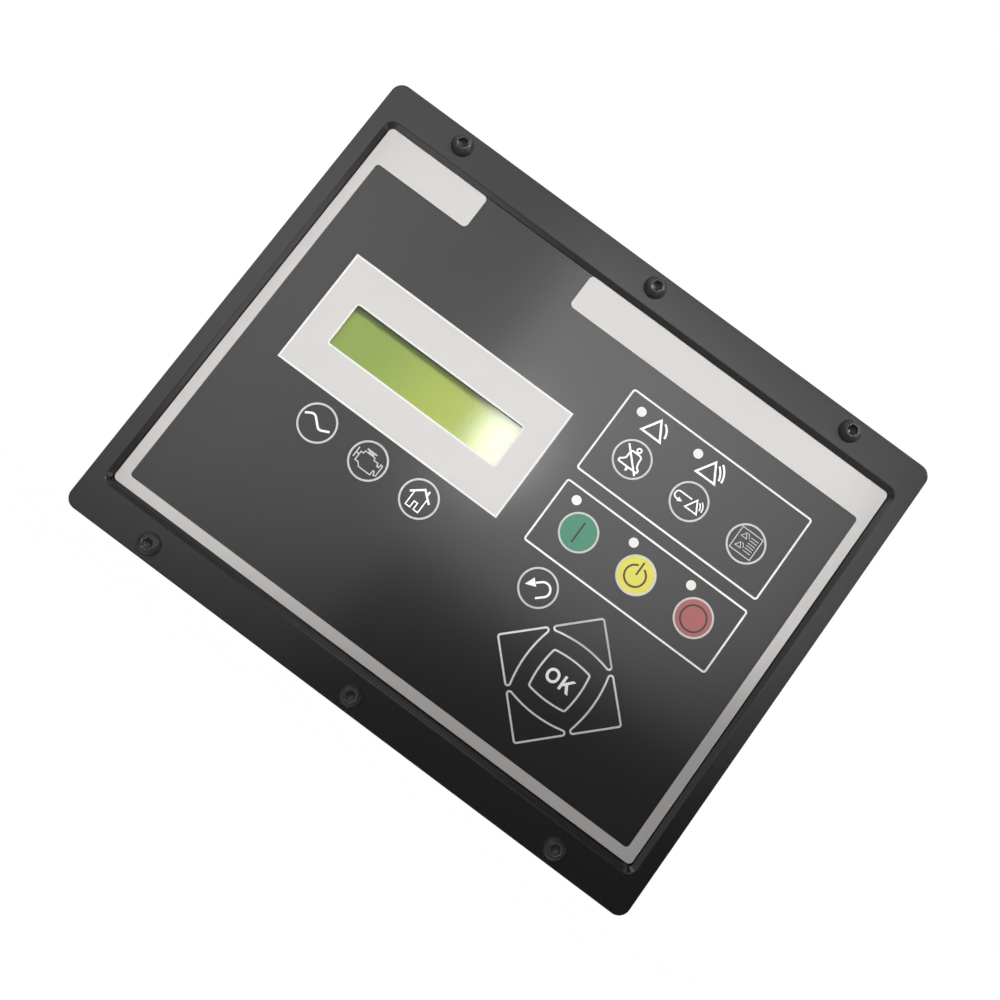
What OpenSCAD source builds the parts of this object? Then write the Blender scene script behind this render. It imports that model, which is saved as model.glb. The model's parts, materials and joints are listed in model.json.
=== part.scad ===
// Control display panel for a machine cabinet: a stepped front frame with a membrane keypad and a
// character display, a circuit board behind it, and a ribbed rear housing with one plug socket.
// Every piece is drawn lying on its back, x to the right, y up the face and z out of the face, and
// upright() then stands it up with its face towards -Y. z = 0 is the cabinet's mounting face.

/* [Front frame] */
// Width of the front frame
frame_w = 267.5; // [262:0.5:290]
// Height of the front frame
frame_h = 215; // [214:1:236]
// Radius of the frame's outer corners
frame_corner_r = 5; // [4:0.5:8]
// Thickness of the frame's flange
flange_t = 5; // [4.5:0.5:7]
// Width of the flange beside the window
side_rail_w = 6.6; // [6:0.1:8]
// Width of the flange above and below the window
end_rail_w = 15; // [14:0.5:18]
// Radius rolled onto the frame's front edges
edge_roll_r = 0.5; // [0.3:0.1:1.4]
// Width of the bevel that runs down into the window
bevel_w = 1.8; // [1:0.1:2.2]
// Depth of the overlay's face behind the flange's face
recess_d = 2; // [1.6:0.1:2.4]
// Gap between the foot of the bevel and the overlay on the left and right
overlay_gap = 0.6; // [0.4:0.1:1]
// The same gap above the overlay
overlay_top_gap = 0.35; // [0.3:0.05:0.8]
// The same gap below the overlay, which is stuck a little high in the window
overlay_foot_gap = 1.5; // [0.5:0.1:2]
// Width of the ledge that the keypad plate is bonded to
ledge_w = 5.6; // [5:0.1:8]
// Thickness of that ledge
ledge_t = 3; // [2.5:0.5:4]
// Thickness of the skirt that passes through the cabinet's cut-out
skirt_wall = 3; // [2.5:0.5:4]
// Reach of the skirt behind the mounting face
skirt_d = 8; // [7.5:0.5:12]
// Thickness of the foam gasket under the flange
gasket_t = 1.5; // [1:0.5:3]
// Gap between the gasket and the skirt
gasket_gap = 0.5; // [0.3:0.1:1]

/* [Overlay and print] */
// Radius of the overlay's corners
overlay_corner_r = 2; // [1:0.5:4]
// Thickness of the overlay film
overlay_t = 0.3; // [0.2:0.05:0.5]
// Thickness of a printed field
print_t = 0.08; // [0.06:0.01:0.12]
// Width of the pale border
border_w = 4.6; // [3:0.1:6]
// Height of the pale blocks along the top
title_h = 15.7; // [12:0.1:18]
// Width of the pale block at the top left
left_block_w = 48.8; // [30:0.1:60]
// Width of the pale block at the top right
right_block_w = 148.3; // [120:0.1:160]
// Radius of the pale blocks' corners
block_corner_r = 2; // [1:0.1:3]
// Radius of the dark field's corners
field_corner_r = 1.6; // [0.5:0.1:3]
// Width of the white lines
line_w = 0.8; // [0.5:0.1:1]
// Radius of the group boxes' corners
box_corner_r = 1.4; // [1:0.1:3]

/* [Keys] */
// Distance from the panel's centre to the first column of keys
key_x = 33.5; // [32:0.1:35]
// Pitch of the alarm and run keys
key_pitch = 28.1; // [26:0.1:29]
// Height of the alarm keys above the panel's centre
alarm_key_z = 39.1; // [38:0.1:41]
// Height of the run keys above the panel's centre
run_key_z = 2.55; // [1.5:0.05:3.5]
// Height of the menu keys and the return key (below the centre)
menu_key_z = -24.6; // [-26:0.1:-24]
// Distance from the panel's centre to the first menu key
menu_x = -74.8; // [-80:0.1:-72]
// Pitch of the menu keys
menu_pitch = 25; // [22:0.5:27]
// Radius of a key's ring, to the middle of its line
key_r = 7.84; // [7:0.02:8.2]
// Centre of the arrow keys to the right
nav_x = 61.4; // [60:0.1:64]
// Height of that centre above the overlay's lower edge
nav_rise = 40.6; // [40:0.1:42.5]
// Distance from that centre to an arrow's tip
arrow_tip = 29.4; // [28:0.1:30]
// Distance from that centre to the corners of an arrow's base
arrow_base = 15.7; // [15:0.1:17]
// Width of an arrow's base
arrow_w = 27.3; // [24:0.1:28]
// Radius of the hollow curve in an arrow's base
arrow_base_r = 50; // [40:1:80]
// Radius of the corners of the arrows and the centre key
arrow_r = 1; // [0.6:0.1:1.4]
// Width of the centre key at its corners
ok_w = 17.4; // [15:0.1:18]
// Radius of the centre key's curved sides
ok_side_r = 45; // [35:1:80]
// Width of a group box
group_w = 88.6; // [86:0.1:90]
// Height of the alarm keys' box
alarm_box_h = 40.2; // [38.5:0.1:41]
// Height of the run keys' box
run_box_h = 30.4; // [28.5:0.1:31]
// Height of the alarm box's centre above the alarm keys
alarm_box_rise = 3.9; // [3:0.1:5]
// Height of an alarm lamp above its key
alarm_lamp_rise = 17.9; // [17:0.1:19]
// Height of a run lamp above its key
run_lamp_rise = 9.95; // [9.5:0.05:11]
// Distance of a lamp to the left of its key
lamp_shift = 8.2; // [7.5:0.1:9]
// Radius of a lamp's dot
lamp_r = 2; // [1.8:0.1:2.4]

/* [Display] */
// Centre of the display to the right
display_x = -49.9; // [-55:0.05:-49]
// Centre of the display upwards
display_z = 13.6; // [12:0.1:15]
// Width of the display's window
window_w = 81.8; // [75:0.1:82.5]
// Height of the display's window
window_h = 19.3; // [16:0.1:20]
// Radius of the window's corners
window_corner_r = 0.7; // [0.3:0.1:1.5]
// Width of the pale surround
surround_w = 107.7; // [100:0.1:108.5]
// Height of the pale surround
surround_h = 52.2; // [40:0.1:53]
// Width of the display's metal bezel
lcd_w = 96; // [92:0.5:100]
// Height of the display's metal bezel
lcd_h = 34; // [31:0.5:37]
// Thickness of the display's glass
lcd_glass_t = 2.2; // [1.8:0.1:2.6]
// Thickness of the backlight
backlight_t = 3.5; // [3:0.1:4.5]
// Thickness of the metal bezel's sheet
bezel_t = 0.5; // [0.4:0.1:0.8]
// Thickness of the clear lens
lens_t = 0.8; // [0.6:0.1:1]

/* [Keypad layers and board] */
// Thickness of the keypad's spacer film
spacer_t = 0.6; // [0.5:0.05:0.8]
// Thickness of the keypad's circuit film
circuit_t = 0.3; // [0.2:0.05:0.4]
// Thickness of the metal plate behind the keypad
plate_t = 1.6; // [1.2:0.1:2]
// Radius of a snap dome
dome_r = 6; // [5:0.5:6.5]
// Distance of the main board's edge inside the tub's outline
board_inset = 7; // [6:0.1:9]
// Thickness of the boards
board_t = 1.6; // [1.2:0.1:2]
// Distance from the plate to the main board
board_gap = 14.7; // [13:0.1:16]

/* [Parts on the board] */
// Width of a relay
relay_w = 15.5; // [12:0.1:16]
// Length of a relay up the board
relay_h = 19; // [16:0.1:20]
// Height of a relay off the board
relay_t = 15.5; // [12:0.1:18]
// Pitch of the relays
relay_pitch = 22; // [21:0.1:24]
// Distance of the relays from the board's side edge
relay_inset = 17; // [14:0.1:20]
// Distance of the first relay below the board's top edge
relay_drop = 51; // [48:0.5:53]
// Width of a measuring transformer's base
transformer_w = 20; // [16:0.1:22]
// Length of a transformer's base up the board
transformer_h = 18; // [15:0.1:20]
// Height of a transformer off the board
transformer_t = 17.5; // [14:0.1:18]
// Step from a transformer's base in to its top
transformer_step = 3.5; // [2:0.1:4]
// Pitch of the transformers
transformer_pitch = 24; // [22:0.1:26]
// Distance of the transformers from the board's side edge
transformer_inset = 24; // [18:0.1:26]
// Distance of the first transformer below the board's top edge
transformer_drop = 49; // [46:0.5:52]
// Radius of a capacitor's can
can_r = 6.25; // [4:0.05:6.5]
// Height of a capacitor's can
can_h = 19; // [12:0.5:20]
// Pitch of the capacitors
can_pitch = 15; // [14:0.1:17]
// Distance of the last capacitor from the board's side edge
can_inset = 11; // [9:0.1:14]
// Distance of the capacitors below the board's top edge
can_drop = 20; // [16:0.1:22]
// Width of the processor's body
processor_w = 24; // [20:0.1:28]
// Distance of the processor from the board's side edge
processor_inset = 44; // [42:0.1:48]
// Distance of the processor below the board's top edge
processor_drop = 31; // [26:0.1:34]
// Pitch of the processor's leads
lead_pitch = 2; // [1.6:0.1:2.2]
// Width of a driver chip
chip_w = 9; // [7:0.1:11]
// Length of a driver chip
chip_h = 16; // [12:0.1:18]
// Pitch of the driver chips
chip_pitch = 14; // [12:0.1:14.5]
// Distance of the driver chips below the board's top edge
chip_drop = 39; // [36:0.1:41]

/* [Plug socket] */
// Width of the socket's shroud
shroud_w = 86; // [82:1:92]
// Height of the socket's shroud
shroud_h = 44; // [42:1:50]
// Wall of the shroud
shroud_wall = 2.2; // [2:0.1:3]
// Depth of the socket
socket_d = 20; // [18:0.5:22]
// Reach of the shroud behind the housing's back
shroud_reach = 10; // [7:0.5:12]
// Height of the socket's centre (below the panel's centre)
socket_z = -22; // [-26:1:-16]
// Columns of pins on each side of the socket's middle
pin_columns = 5; // [3:1:5]
// Rows of pins
pin_rows = 7; // [3:1:7]
// Pitch of the pins
pin_pitch = 5; // [4.6:0.1:5.2]
// Radius of a pin
pin_r = 0.8; // [0.5:0.05:1]
// Radius of the thread in the socket's middle
insert_bore_r = 2.5; // [2:0.1:3]

/* [Rear housing] */
// Thickness of the housing's rim
rim_t = 3; // [2.5:0.5:4]
// Distance from the rim's edge to the tub's wall
rim_w = 10.3; // [10:0.1:12]
// Radius of the tub's corners
tub_corner_r = 14; // [10:1:20]
// Depth of the tub behind its rim
tub_d = 28; // [26:1:36]
// Wall of the tub
tub_wall = 2.5; // [2:0.1:3]
// Draft of the tub's sides, in degrees
tub_draft = 2; // [1:0.5:3]
// Radius of the tub's back edge
tub_edge_r = 4; // [3.5:0.5:6]
// Thickness of the seal under the rim
seal_t = 1; // [0.8:0.1:1.5]
// Height of the cooling ribs
rib_h = 4; // [2:0.5:6]
// Thickness of the cooling ribs
rib_t = 2; // [1.5:0.1:3]
// Pitch of the cooling ribs
rib_pitch = 12; // [10:1:16]
// Reach of the gussets out over the rim
gusset_w = 8; // [5:0.5:9]
// Reach of the gussets up the tub's side
gusset_h = 10; // [6:0.5:14]
// Thickness of the gussets
gusset_t = 2.4; // [1.8:0.1:3]

/* [Fasteners] */
// Distance from the middle to the outer mounting screws
mount_x = 97; // [92:1:100]
// Distance of the mounting screws from the flange's outer edge
mount_inset = 6.5; // [6:0.1:7]
// Radius of the mounting screws' thread
mount_r = 2.5; // [2:0.1:2.5]
// Length of the mounting screws under their heads
mount_length = 16; // [14:1:25]
// Radius of the mounting screws' heads
mount_head_r = 4.7; // [4.2:0.05:5]
// Height of the mounting screws' heads
mount_head_h = 2.75; // [2:0.05:3]
// Width across the flats of the hexagon socket
mount_hex = 3; // [2.5:0.5:4]
// Radius of the housing screws' thread
cover_screw_r = 2; // [1.5:0.1:2.2]
// Distance of the housing screws from the rim's edge
cover_screw_inset = 4.6; // [4.5:0.1:5]
// Length of the housing screws under their heads
cover_screw_length = 10; // [8:0.5:10]

/* [Hidden] */

$fn = 64;
small = 0.01;            // overshoot of a cut past a face
fit_gap = 0.15;          // radial clearance of a screw in its hole
close_gap = 0.2;         // clearance between neighbouring pieces
arc_steps = 8;           // points along a quarter round of a section

// Levels of the stack, from the mounting face
flange_rear = gasket_t;
flange_front = flange_rear + flange_t;
overlay_front = flange_front - recess_d;
overlay_rear = overlay_front - overlay_t;
spacer_rear = overlay_rear - spacer_t;
circuit_rear = spacer_rear - circuit_t;
plate_rear = circuit_rear - plate_t;
ledge_rear = plate_rear - ledge_t;
skirt_rear = -skirt_d;
rim_front = skirt_rear - seal_t;
rim_rear = rim_front - rim_t;
tub_rear = rim_rear - tub_d;
tub_floor = tub_rear + tub_wall;
board_front = plate_rear - board_gap;
board_rear = board_front - board_t;

// Outlines, from the frame inwards
front_window_w = frame_w - 2 * side_rail_w;
front_window_h = frame_h - 2 * end_rail_w;
pocket_w = front_window_w - 2 * bevel_w;
pocket_h = front_window_h - 2 * bevel_w;
pocket_r = overlay_corner_r + overlay_gap;
overlay_w = pocket_w - 2 * overlay_gap;
overlay_h = pocket_h - overlay_top_gap - overlay_foot_gap;
overlay_rise = (overlay_foot_gap - overlay_top_gap) / 2; // its centre above the panel's
overlay_top = overlay_rise + overlay_h / 2;
overlay_foot = overlay_rise - overlay_h / 2;
skirt_land = 2;          // flange metal between the pocket and the skirt's outside
skirt_w = pocket_w + 2 * skirt_land;
skirt_h = pocket_h + 2 * skirt_land;
skirt_r = pocket_r + skirt_land;
skirt_inner_w = skirt_w - 2 * skirt_wall;
skirt_inner_h = skirt_h - 2 * skirt_wall;
ledge_window_w = overlay_w - 2 * ledge_w;
ledge_window_h = overlay_h - 2 * ledge_w;
ledge_window_r = 4;
tub_w = skirt_w - 2 * rim_w;
tub_h = skirt_h - 2 * rim_w;
board_w = tub_w - 2 * board_inset;
board_h = tub_h - 2 * board_inset;

// Bands of the frame that carry its rounded edges
outer_band = 3;
lip_margin = 0.4;
lip_band = bevel_w + edge_roll_r + lip_margin;
gasket_inset = 1;        // gasket's edge inside the flange's edge

// Places of the keys and lamps, as [x, y] on the face
function in_row(x, z, pitch, count) = [for (i = [0 : count - 1]) [x + i * pitch, z]];
menu_keys = in_row(menu_x, menu_key_z, menu_pitch, 3);
alarm_keys = in_row(key_x, alarm_key_z, key_pitch, 3);
run_keys = in_row(key_x, run_key_z, key_pitch, 3);
return_key = [key_x, menu_key_z];
round_keys = concat(menu_keys, alarm_keys, run_keys, [return_key]);
nav_at = [nav_x, overlay_foot + nav_rise];
dome_reach = (arrow_tip + arrow_base) / 2;
nav_domes = concat([nav_at], [for (a = [0 : 90 : 270]) nav_at + dome_reach * [cos(a), sin(a)]]);
lamps = concat(
    [for (i = [0 : 1]) alarm_keys[i] + [-lamp_shift, alarm_lamp_rise]],
    [for (k = run_keys) k + [-lamp_shift, run_lamp_rise]]);
group_x = key_x + key_pitch;
key_disc_r = key_r - line_w / 2;

// Display module
display_at = [display_x, display_z];
window_ring_w = 0.75;    // white line round the window
lens_margin = 5.6;       // lens past the window on each side
lens_w = window_w + 2 * lens_margin;
lens_h = window_h + 2 * lens_margin;
plate_window_gap = 1;    // plate's cut-out round the bezel
lens_rear = circuit_rear - lens_t;
bezel_gap = 0.05;
bezel_front = lens_rear - bezel_gap;
glass_front = bezel_front - bezel_t;
glass_rear = glass_front - lcd_glass_t;
backlight_rear = glass_rear - backlight_t;
view_margin_x = 1.7;     // bezel's opening past the window
view_margin_z = 1.85;
board_margin_x = 10;     // display's board past its bezel
board_margin_z = 3;
hole_inset_x = 5;        // display's screws inside its board's edges
hole_inset_z = 4;
display_board_w = lcd_w + 2 * board_margin_x;
display_board_h = lcd_h + 2 * board_margin_z;
display_board_rear = backlight_rear - board_t;
display_hole_x = display_board_w / 2 - hole_inset_x;
display_hole_z = display_board_h / 2 - hole_inset_z;
link_w = 40.6;
link_t = 2.5;
link_inset = 4;
link_z = display_z - display_board_h / 2 + link_inset;
display_holes = [for (sx = [-1, 1], sz = [-1, 1]) display_at + [sx * display_hole_x, sz * display_hole_z]];

// Keypad tail and its connector on the main board
tail_x = -40;
tail_w = 24;
tail_slot_w = 27;
tail_slot_h = 3;
tail_inset = 3;          // tail inside the main board's lower edge
tail_z = -board_h / 2 + tail_inset;
tail_bend_r = 1.6;
connector_w = 30;
connector_h = 6;
connector_t = 4;
connector_rise = 12;
connector_z = tail_z + connector_rise;
tail_low = board_front + connector_t / 2;

// Light pipes and lamps on the board
pipe_r = 2;
pipe_hole_r = pipe_r + close_gap;
pipe_collar_r = 3.2;
pipe_collar_t = 1.2;
lamp_chip = 3;
lamp_chip_t = 1.2;

// Main board
board_corner_r = 6;
board_hole_inset = 8;
board_hole_x = board_w / 2 - board_hole_inset;
board_hole_z = board_h / 2 - board_hole_inset;
board_holes = concat(
    [for (sx = [-1, 1], sz = [-1, 1]) [sx * board_hole_x, sz * board_hole_z]],
    [[0, board_hole_z], [0, -board_hole_z]]);
standoff_hex = 5.5;
small_screw_r = 1.5;
small_screw_head_r = 2.75;
small_screw_head_h = 1.8;
small_screw_length = 7;
small_slot_w = 0.8;
tiny_screw_r = 1.25;
tiny_screw_head_r = 2.25;
tiny_screw_head_h = 1.5;
tiny_screw_length = 5;
tiny_slot_w = 0.6;
display_standoff_r = 2.25;

// Parts on the main board, placed from its edges
function from_corner(side, inset, drop) = [side * (board_w / 2 - inset), board_h / 2 - drop];
processor_at = from_corner(-1, processor_inset, processor_drop);
processor_t = 2;
lead_w = 0.8;
lead_t = 0.4;
lead_reach = 2.5;
chip_t = 1.8;
chip_places = [for (i = [-2 : 2]) [i * chip_pitch, board_h / 2 - chip_drop]];
can_places = [for (i = [0 : 3]) from_corner(1, can_inset + i * can_pitch, can_drop)];
can_groove_h = 2.5;
can_groove_r = 0.5;
can_edge_r = 0.8;
relay_places = [for (i = [0 : 3]) from_corner(-1, relay_inset, relay_drop + i * relay_pitch)];
transformer_places =
    [for (i = [0 : 2]) from_corner(1, transformer_inset, transformer_drop + i * transformer_pitch)];
transformer_top_t = 1.5; // wound core above the base

// Socket
socket_rear = tub_rear - shroud_reach;
socket_floor = socket_rear + socket_d;
socket_floor_t = 5;
socket_at = [0, socket_z];
socket_inner_w = shroud_w - 2 * shroud_wall;
socket_inner_h = shroud_h - 2 * shroud_wall;
socket_corner_r = 3;
base_margin = 2;         // base of the shell past the shroud
flange_margin = 6;       // sealing flange past the shroud
socket_flange_t = 3;
socket_seal_t = 1;
socket_seal_inset = 1;   // seal's edges inside the flange and off the shroud
socket_flange_rear = tub_floor + socket_seal_t;
socket_flange_front = socket_flange_rear + socket_flange_t;
pin_stop = 6;            // pins end this far inside the shroud
pin_tail = 1.5;          // pins stand this far through the board
pin_split = 13;          // from the middle to the first column
pin_clear = 0.08;
insert_r = 3.6;
insert_d = 12;
insert_boss_r = 6.5;
insert_proud = 0.5;
pins = [for (side = [-1, 1], c = [0 : pin_columns - 1], r = [0 : pin_rows - 1])
    socket_at + [side * (pin_split + c * pin_pitch), (r - (pin_rows - 1) / 2) * pin_pitch]];
key_rib_w = 2.4;
key_rib_h = 1.3;
key_rib_places = [-26, -17, 22];

// Housing screws along the rim
cover_screw_x = skirt_w / 2 - cover_screw_inset;
cover_screw_z = skirt_h / 2 - cover_screw_inset;
cover_row_reach = 0.87;  // outermost screw of a long row, as a share of the rim's half width
cover_side_reach = 0.48; // screws of a short row, as a share of the rim's half height
cover_screws = concat(
    [for (i = [-3 : 2 : 3], s = [-1, 1]) [i / 3 * cover_row_reach * cover_screw_x, s * cover_screw_z]],
    [for (s = [-1, 1], i = [-1 : 2 : 1]) [s * cover_screw_x, i * cover_side_reach * cover_screw_z]]);
cover_boss_r = 3.6;
cover_screw_head_r = 3.5;
cover_screw_head_h = 2.6;
cover_slot_w = 1;
cover_hole_r = cover_screw_r + fit_gap;

// Housing's back: ribs and the collar round the socket
rib_end_gap = 4;         // ribs end this far inside the back's round edge
rib_side_gap = 6;
rib_clearing = 12;       // clear band round the socket's shroud
collar_h = 1.5;
collar_w = 3;
collar_gap = 0.4;

// Gussets between the screws, as [x, y, direction outwards]
side_gusset_reach = 0.74;
gusset_places = concat(
    [for (i = [-2 : 2 : 2], s = [-1, 1]) [i / 3 * cover_row_reach * cover_screw_x, s * tub_h / 2, 90 * s]],
    [for (i = [-1 : 1], s = [-1, 1]) [s * tub_w / 2, i * side_gusset_reach * tub_h / 2, 90 - 90 * s]]);

// Mounting screws
mount_z = frame_h / 2 - mount_inset;
mount_places = [for (sx = [-1, 0, 1], sz = [-1, 1]) [sx * mount_x, sz * mount_z]];
mount_clear = 0.25;
mount_hole_r = mount_r + mount_clear;
mount_neck_r = mount_r - 0.3; // thinner than the thread, as far as the mounting face
mount_rim_h = 0.35;      // straight rim below the head's dome
mount_flat = 0.62;       // flat top, as a share of the head's radius
mount_top_r = mount_flat * mount_head_r;
mount_socket_d = 1.8;
mount_drill_d = 0.5;     // conical end of the socket's drilled hole
mount_drill_r = 1.35;    // radius of that hole, and of its blunt end
mount_drill_tip_r = 0.3;
mount_tip = 0.6;

// Places a shape on the upright panel
module upright() {
    rotate([90, 0, 0]) children();
}

// A copy of a shape at each of a list of places
module at(places) {
    for (p = places) translate([p[0], p[1], 0]) children();
}

// Extrudes an outline from one level up to another
module layer(low, high) {
    translate([0, 0, low]) linear_extrude(high - low) children();
}

// Rectangle with round corners, about its centre
module round_rect(w, h, r) {
    square([w, h - 2 * r], center = true);
    square([w - 2 * r, h], center = true);
    for (sx = [-1, 1], sy = [-1, 1]) translate([sx * (w / 2 - r), sy * (h / 2 - r)]) circle(r);
}

// Ring between a rounded rectangle and one that is a wall's width smaller
module rect_ring(w, h, r, wall) {
    difference() {
        round_rect(w, h, r);
        round_rect(w - 2 * wall, h - 2 * wall, max(r - wall, small));
    }
}

module ring(r, wall) {
    difference() {
        circle(r + wall / 2);
        circle(r - wall / 2);
    }
}

// Points of an arc from one angle to another
function arc(centre, r, from, to, steps = arc_steps) =
    [for (i = [0 : steps]) let (a = from + (to - from) * i / steps) centre + r * [cos(a), sin(a)]];

// Sweeps a section round a rounded rectangle. The section's x is the distance outwards from the
// corners' axes, so the outline itself lies at x = r, and its y is the level.
module sweep_round_rect(w, h, r) {
    for (half = [0, 180]) rotate(half) {
        translate([w / 2 - r, h / 2 - r, 0]) rotate([90, 0, 0]) linear_extrude(h - 2 * r) children();
        translate([w / 2 - r, h / 2 - r, 0]) rotate_extrude(angle = 90) children();
        rotate(90) {
            translate([h / 2 - r, w / 2 - r, 0]) rotate([90, 0, 0]) linear_extrude(w - 2 * r) children();
            translate([h / 2 - r, w / 2 - r, 0]) rotate_extrude(angle = 90) children();
        }
    }
}

// Section of the flange's outer edge, with the roll at its front
module outer_edge_section() {
    r = frame_corner_r;
    polygon(concat(
        [[r - outer_band, flange_rear], [r, flange_rear]],
        arc([r - edge_roll_r, flange_front - edge_roll_r], edge_roll_r, 0, 90),
        [[r - outer_band, flange_front]]));
}

// Section of the lip: straight pocket wall, bevel, and a roll onto the flange's face
module lip_section() {
    r = pocket_r;
    slope = atan2(recess_d, bevel_w);
    reach = edge_roll_r * tan(slope / 2);
    centre = [r + bevel_w + reach, flange_front - edge_roll_r];
    polygon(concat(
        [[r + lip_band, flange_rear], [r + lip_band, flange_front]],
        arc(centre, edge_roll_r, 90, 90 + slope),
        [[r, overlay_front], [r, flange_rear]]));
}

// Cast front frame: flange, window bevel, ledge, skirt and screw bosses
module front_frame() {
    color("#2f2f2e") upright() difference() {
        union() {
            sweep_round_rect(frame_w, frame_h, frame_corner_r) outer_edge_section();
            sweep_round_rect(pocket_w, pocket_h, pocket_r) lip_section();
            layer(flange_rear, flange_front) difference() {
                round_rect(frame_w - 2 * outer_band, frame_h - 2 * outer_band, frame_corner_r - outer_band);
                round_rect(pocket_w + 2 * lip_band, pocket_h + 2 * lip_band, pocket_r + lip_band);
            }
            layer(ledge_rear, plate_rear) difference() {
                round_rect(skirt_w, skirt_h, skirt_r);
                round_rect(ledge_window_w, ledge_window_h, ledge_window_r);
            }
            layer(skirt_rear, ledge_rear) {
                rect_ring(skirt_w, skirt_h, skirt_r, skirt_wall);
                intersection() {
                    at(cover_screws) circle(cover_boss_r);
                    round_rect(skirt_w, skirt_h, skirt_r);
                }
            }
        }
        at(mount_places) translate([0, 0, -small]) cylinder(r = mount_hole_r, h = flange_front + 2 * small);
        at(cover_screws) translate([0, 0, skirt_rear - small])
            cylinder(r = cover_hole_r, h = cover_screw_length - rim_t - seal_t + 2 * close_gap);
    }
}

// Foam gasket between the flange and the cabinet
module panel_gasket() {
    color("#1c1c1c") upright() layer(0, flange_rear) difference() {
        round_rect(frame_w - 2 * gasket_inset, frame_h - 2 * gasket_inset, frame_corner_r - gasket_inset);
        round_rect(skirt_w + 2 * gasket_gap, skirt_h + 2 * gasket_gap, skirt_r + gasket_gap);
        at(mount_places) circle(mount_hole_r);
    }
}

// Button-head screw with a hexagon socket, standing on z = 0 with its shank below
module button_screw() {
    rise = (pow(mount_head_r, 2) - pow(mount_top_r, 2) + pow(mount_rim_h, 2) - pow(mount_head_h, 2))
        / (2 * (mount_rim_h - mount_head_h));
    ball_r = norm([mount_head_r, mount_rim_h - rise]);
    difference() {
        intersection() {
            translate([0, 0, rise]) sphere(ball_r);
            cylinder(r = mount_head_r, h = mount_head_h);
        }
        translate([0, 0, mount_head_h - mount_socket_d])
            cylinder(r = mount_hex / 2 / cos(30), h = mount_socket_d + small, $fn = 6);
        translate([0, 0, mount_head_h - mount_socket_d - mount_drill_d])
            cylinder(r1 = mount_drill_tip_r, r2 = mount_drill_r, h = mount_drill_d + small);
    }
    translate([0, 0, -flange_front]) cylinder(r = mount_neck_r, h = flange_front);
    translate([0, 0, mount_tip - mount_length])
        cylinder(r = mount_r, h = mount_length - flange_front - mount_tip);
    translate([0, 0, -mount_length]) cylinder(r1 = mount_r - mount_tip, r2 = mount_r, h = mount_tip);
}

module mounting_screws() {
    color("#262626") upright() translate([0, 0, flange_front]) at(mount_places) button_screw();
}

module overlay_outline() {
    translate([0, overlay_rise]) round_rect(overlay_w, overlay_h, overlay_corner_r);
}

module window_outline() {
    translate(display_at) round_rect(window_w, window_h, window_corner_r);
}

// Printed film that carries the legends
module graphic_overlay() {
    color("#454545") upright() layer(overlay_rear, overlay_front) difference() {
        overlay_outline();
        window_outline();
    }
}

// Inside of a round corner, for blending two edges that meet at a right angle
module corner_blend(r) {
    difference() {
        square(r);
        translate([r, r]) circle(r);
    }
}

// Dark part of the print: the field and the tab that runs up between the two pale blocks
module dark_area() {
    field_top = overlay_top - title_h;
    field_bottom = overlay_foot + border_w;
    field_w = overlay_w - 2 * border_w;
    tab_left = -overlay_w / 2 + left_block_w;
    tab_right = overlay_w / 2 - right_block_w;
    translate([0, (field_top + field_bottom) / 2])
        round_rect(field_w, field_top - field_bottom, field_corner_r);
    translate([tab_left, field_top - small])
        square([tab_right - tab_left, title_h + 2 * small]);
    for (x = [tab_left, tab_right], y = [field_top, overlay_top])
        translate([x, y]) mirror([x == tab_left ? 1 : 0, 0]) mirror([0, y == field_top ? 0 : 1])
            corner_blend(block_corner_r);
}

module surround_place() {
    translate(display_at) children();
}

module window_line(grow) {
    round_rect(window_w + 2 * grow, window_h + 2 * grow, window_corner_r + grow);
}

// Pale fields: border, two blocks and the display's surround
module pale_print() {
    color("#dedad6") upright() layer(overlay_front, overlay_front + print_t) {
        difference() {
            overlay_outline();
            dark_area();
        }
        surround_place() difference() {
            square([surround_w - 2 * line_w, surround_h - 2 * line_w], center = true);
            window_line(window_ring_w);
        }
    }
}

// Points without the first and the last
function inner(points) = [for (i = [1 : len(points) - 2]) points[i]];

function turned(p, angle) =
    [p[0] * cos(angle) - p[1] * sin(angle), p[0] * sin(angle) + p[1] * cos(angle)];

// Outline of an arrow key about the keys' centre, grown by a distance, pointing up. Its round
// corners run smoothly into its two straight sides and into the hollow arc of its base.
function arrow_points(grow) =
    let (half = arrow_w / 2 - arrow_r, high = arrow_tip - arrow_r, r = arrow_r + grow,
        lean = atan2(half, high - arrow_base), across = arrow_base_r + arrow_r,
        bend = asin(half / across), base_centre = [0, arrow_base - across * cos(bend)])
    concat(
        arc([0, high], r, lean, 180 - lean),
        arc([-half, arrow_base], r, 180 - lean, 270 + bend),
        inner(arc(base_centre, arrow_base_r - grow, 90 + bend, 90 - bend)),
        arc([half, arrow_base], r, -90 - bend, lean));

// Outline of the centre key, grown by a distance: four round corners joined by four flat arcs
function ok_points(grow) =
    let (half = ok_w / 2 - arrow_r, across = ok_side_r - arrow_r, bend = asin(half / across),
        quarter = concat(
            arc([half, half], arrow_r + grow, bend, 90 - bend),
            inner(arc([0, half - across * cos(bend)], ok_side_r + grow, 90 - bend, 90 + bend))))
    [for (angle = [0 : 90 : 270], p = quarter) turned(p, angle)];

module nav_outline(points_out, points_in) {
    difference() {
        polygon(points_out);
        polygon(points_in);
    }
}

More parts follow.
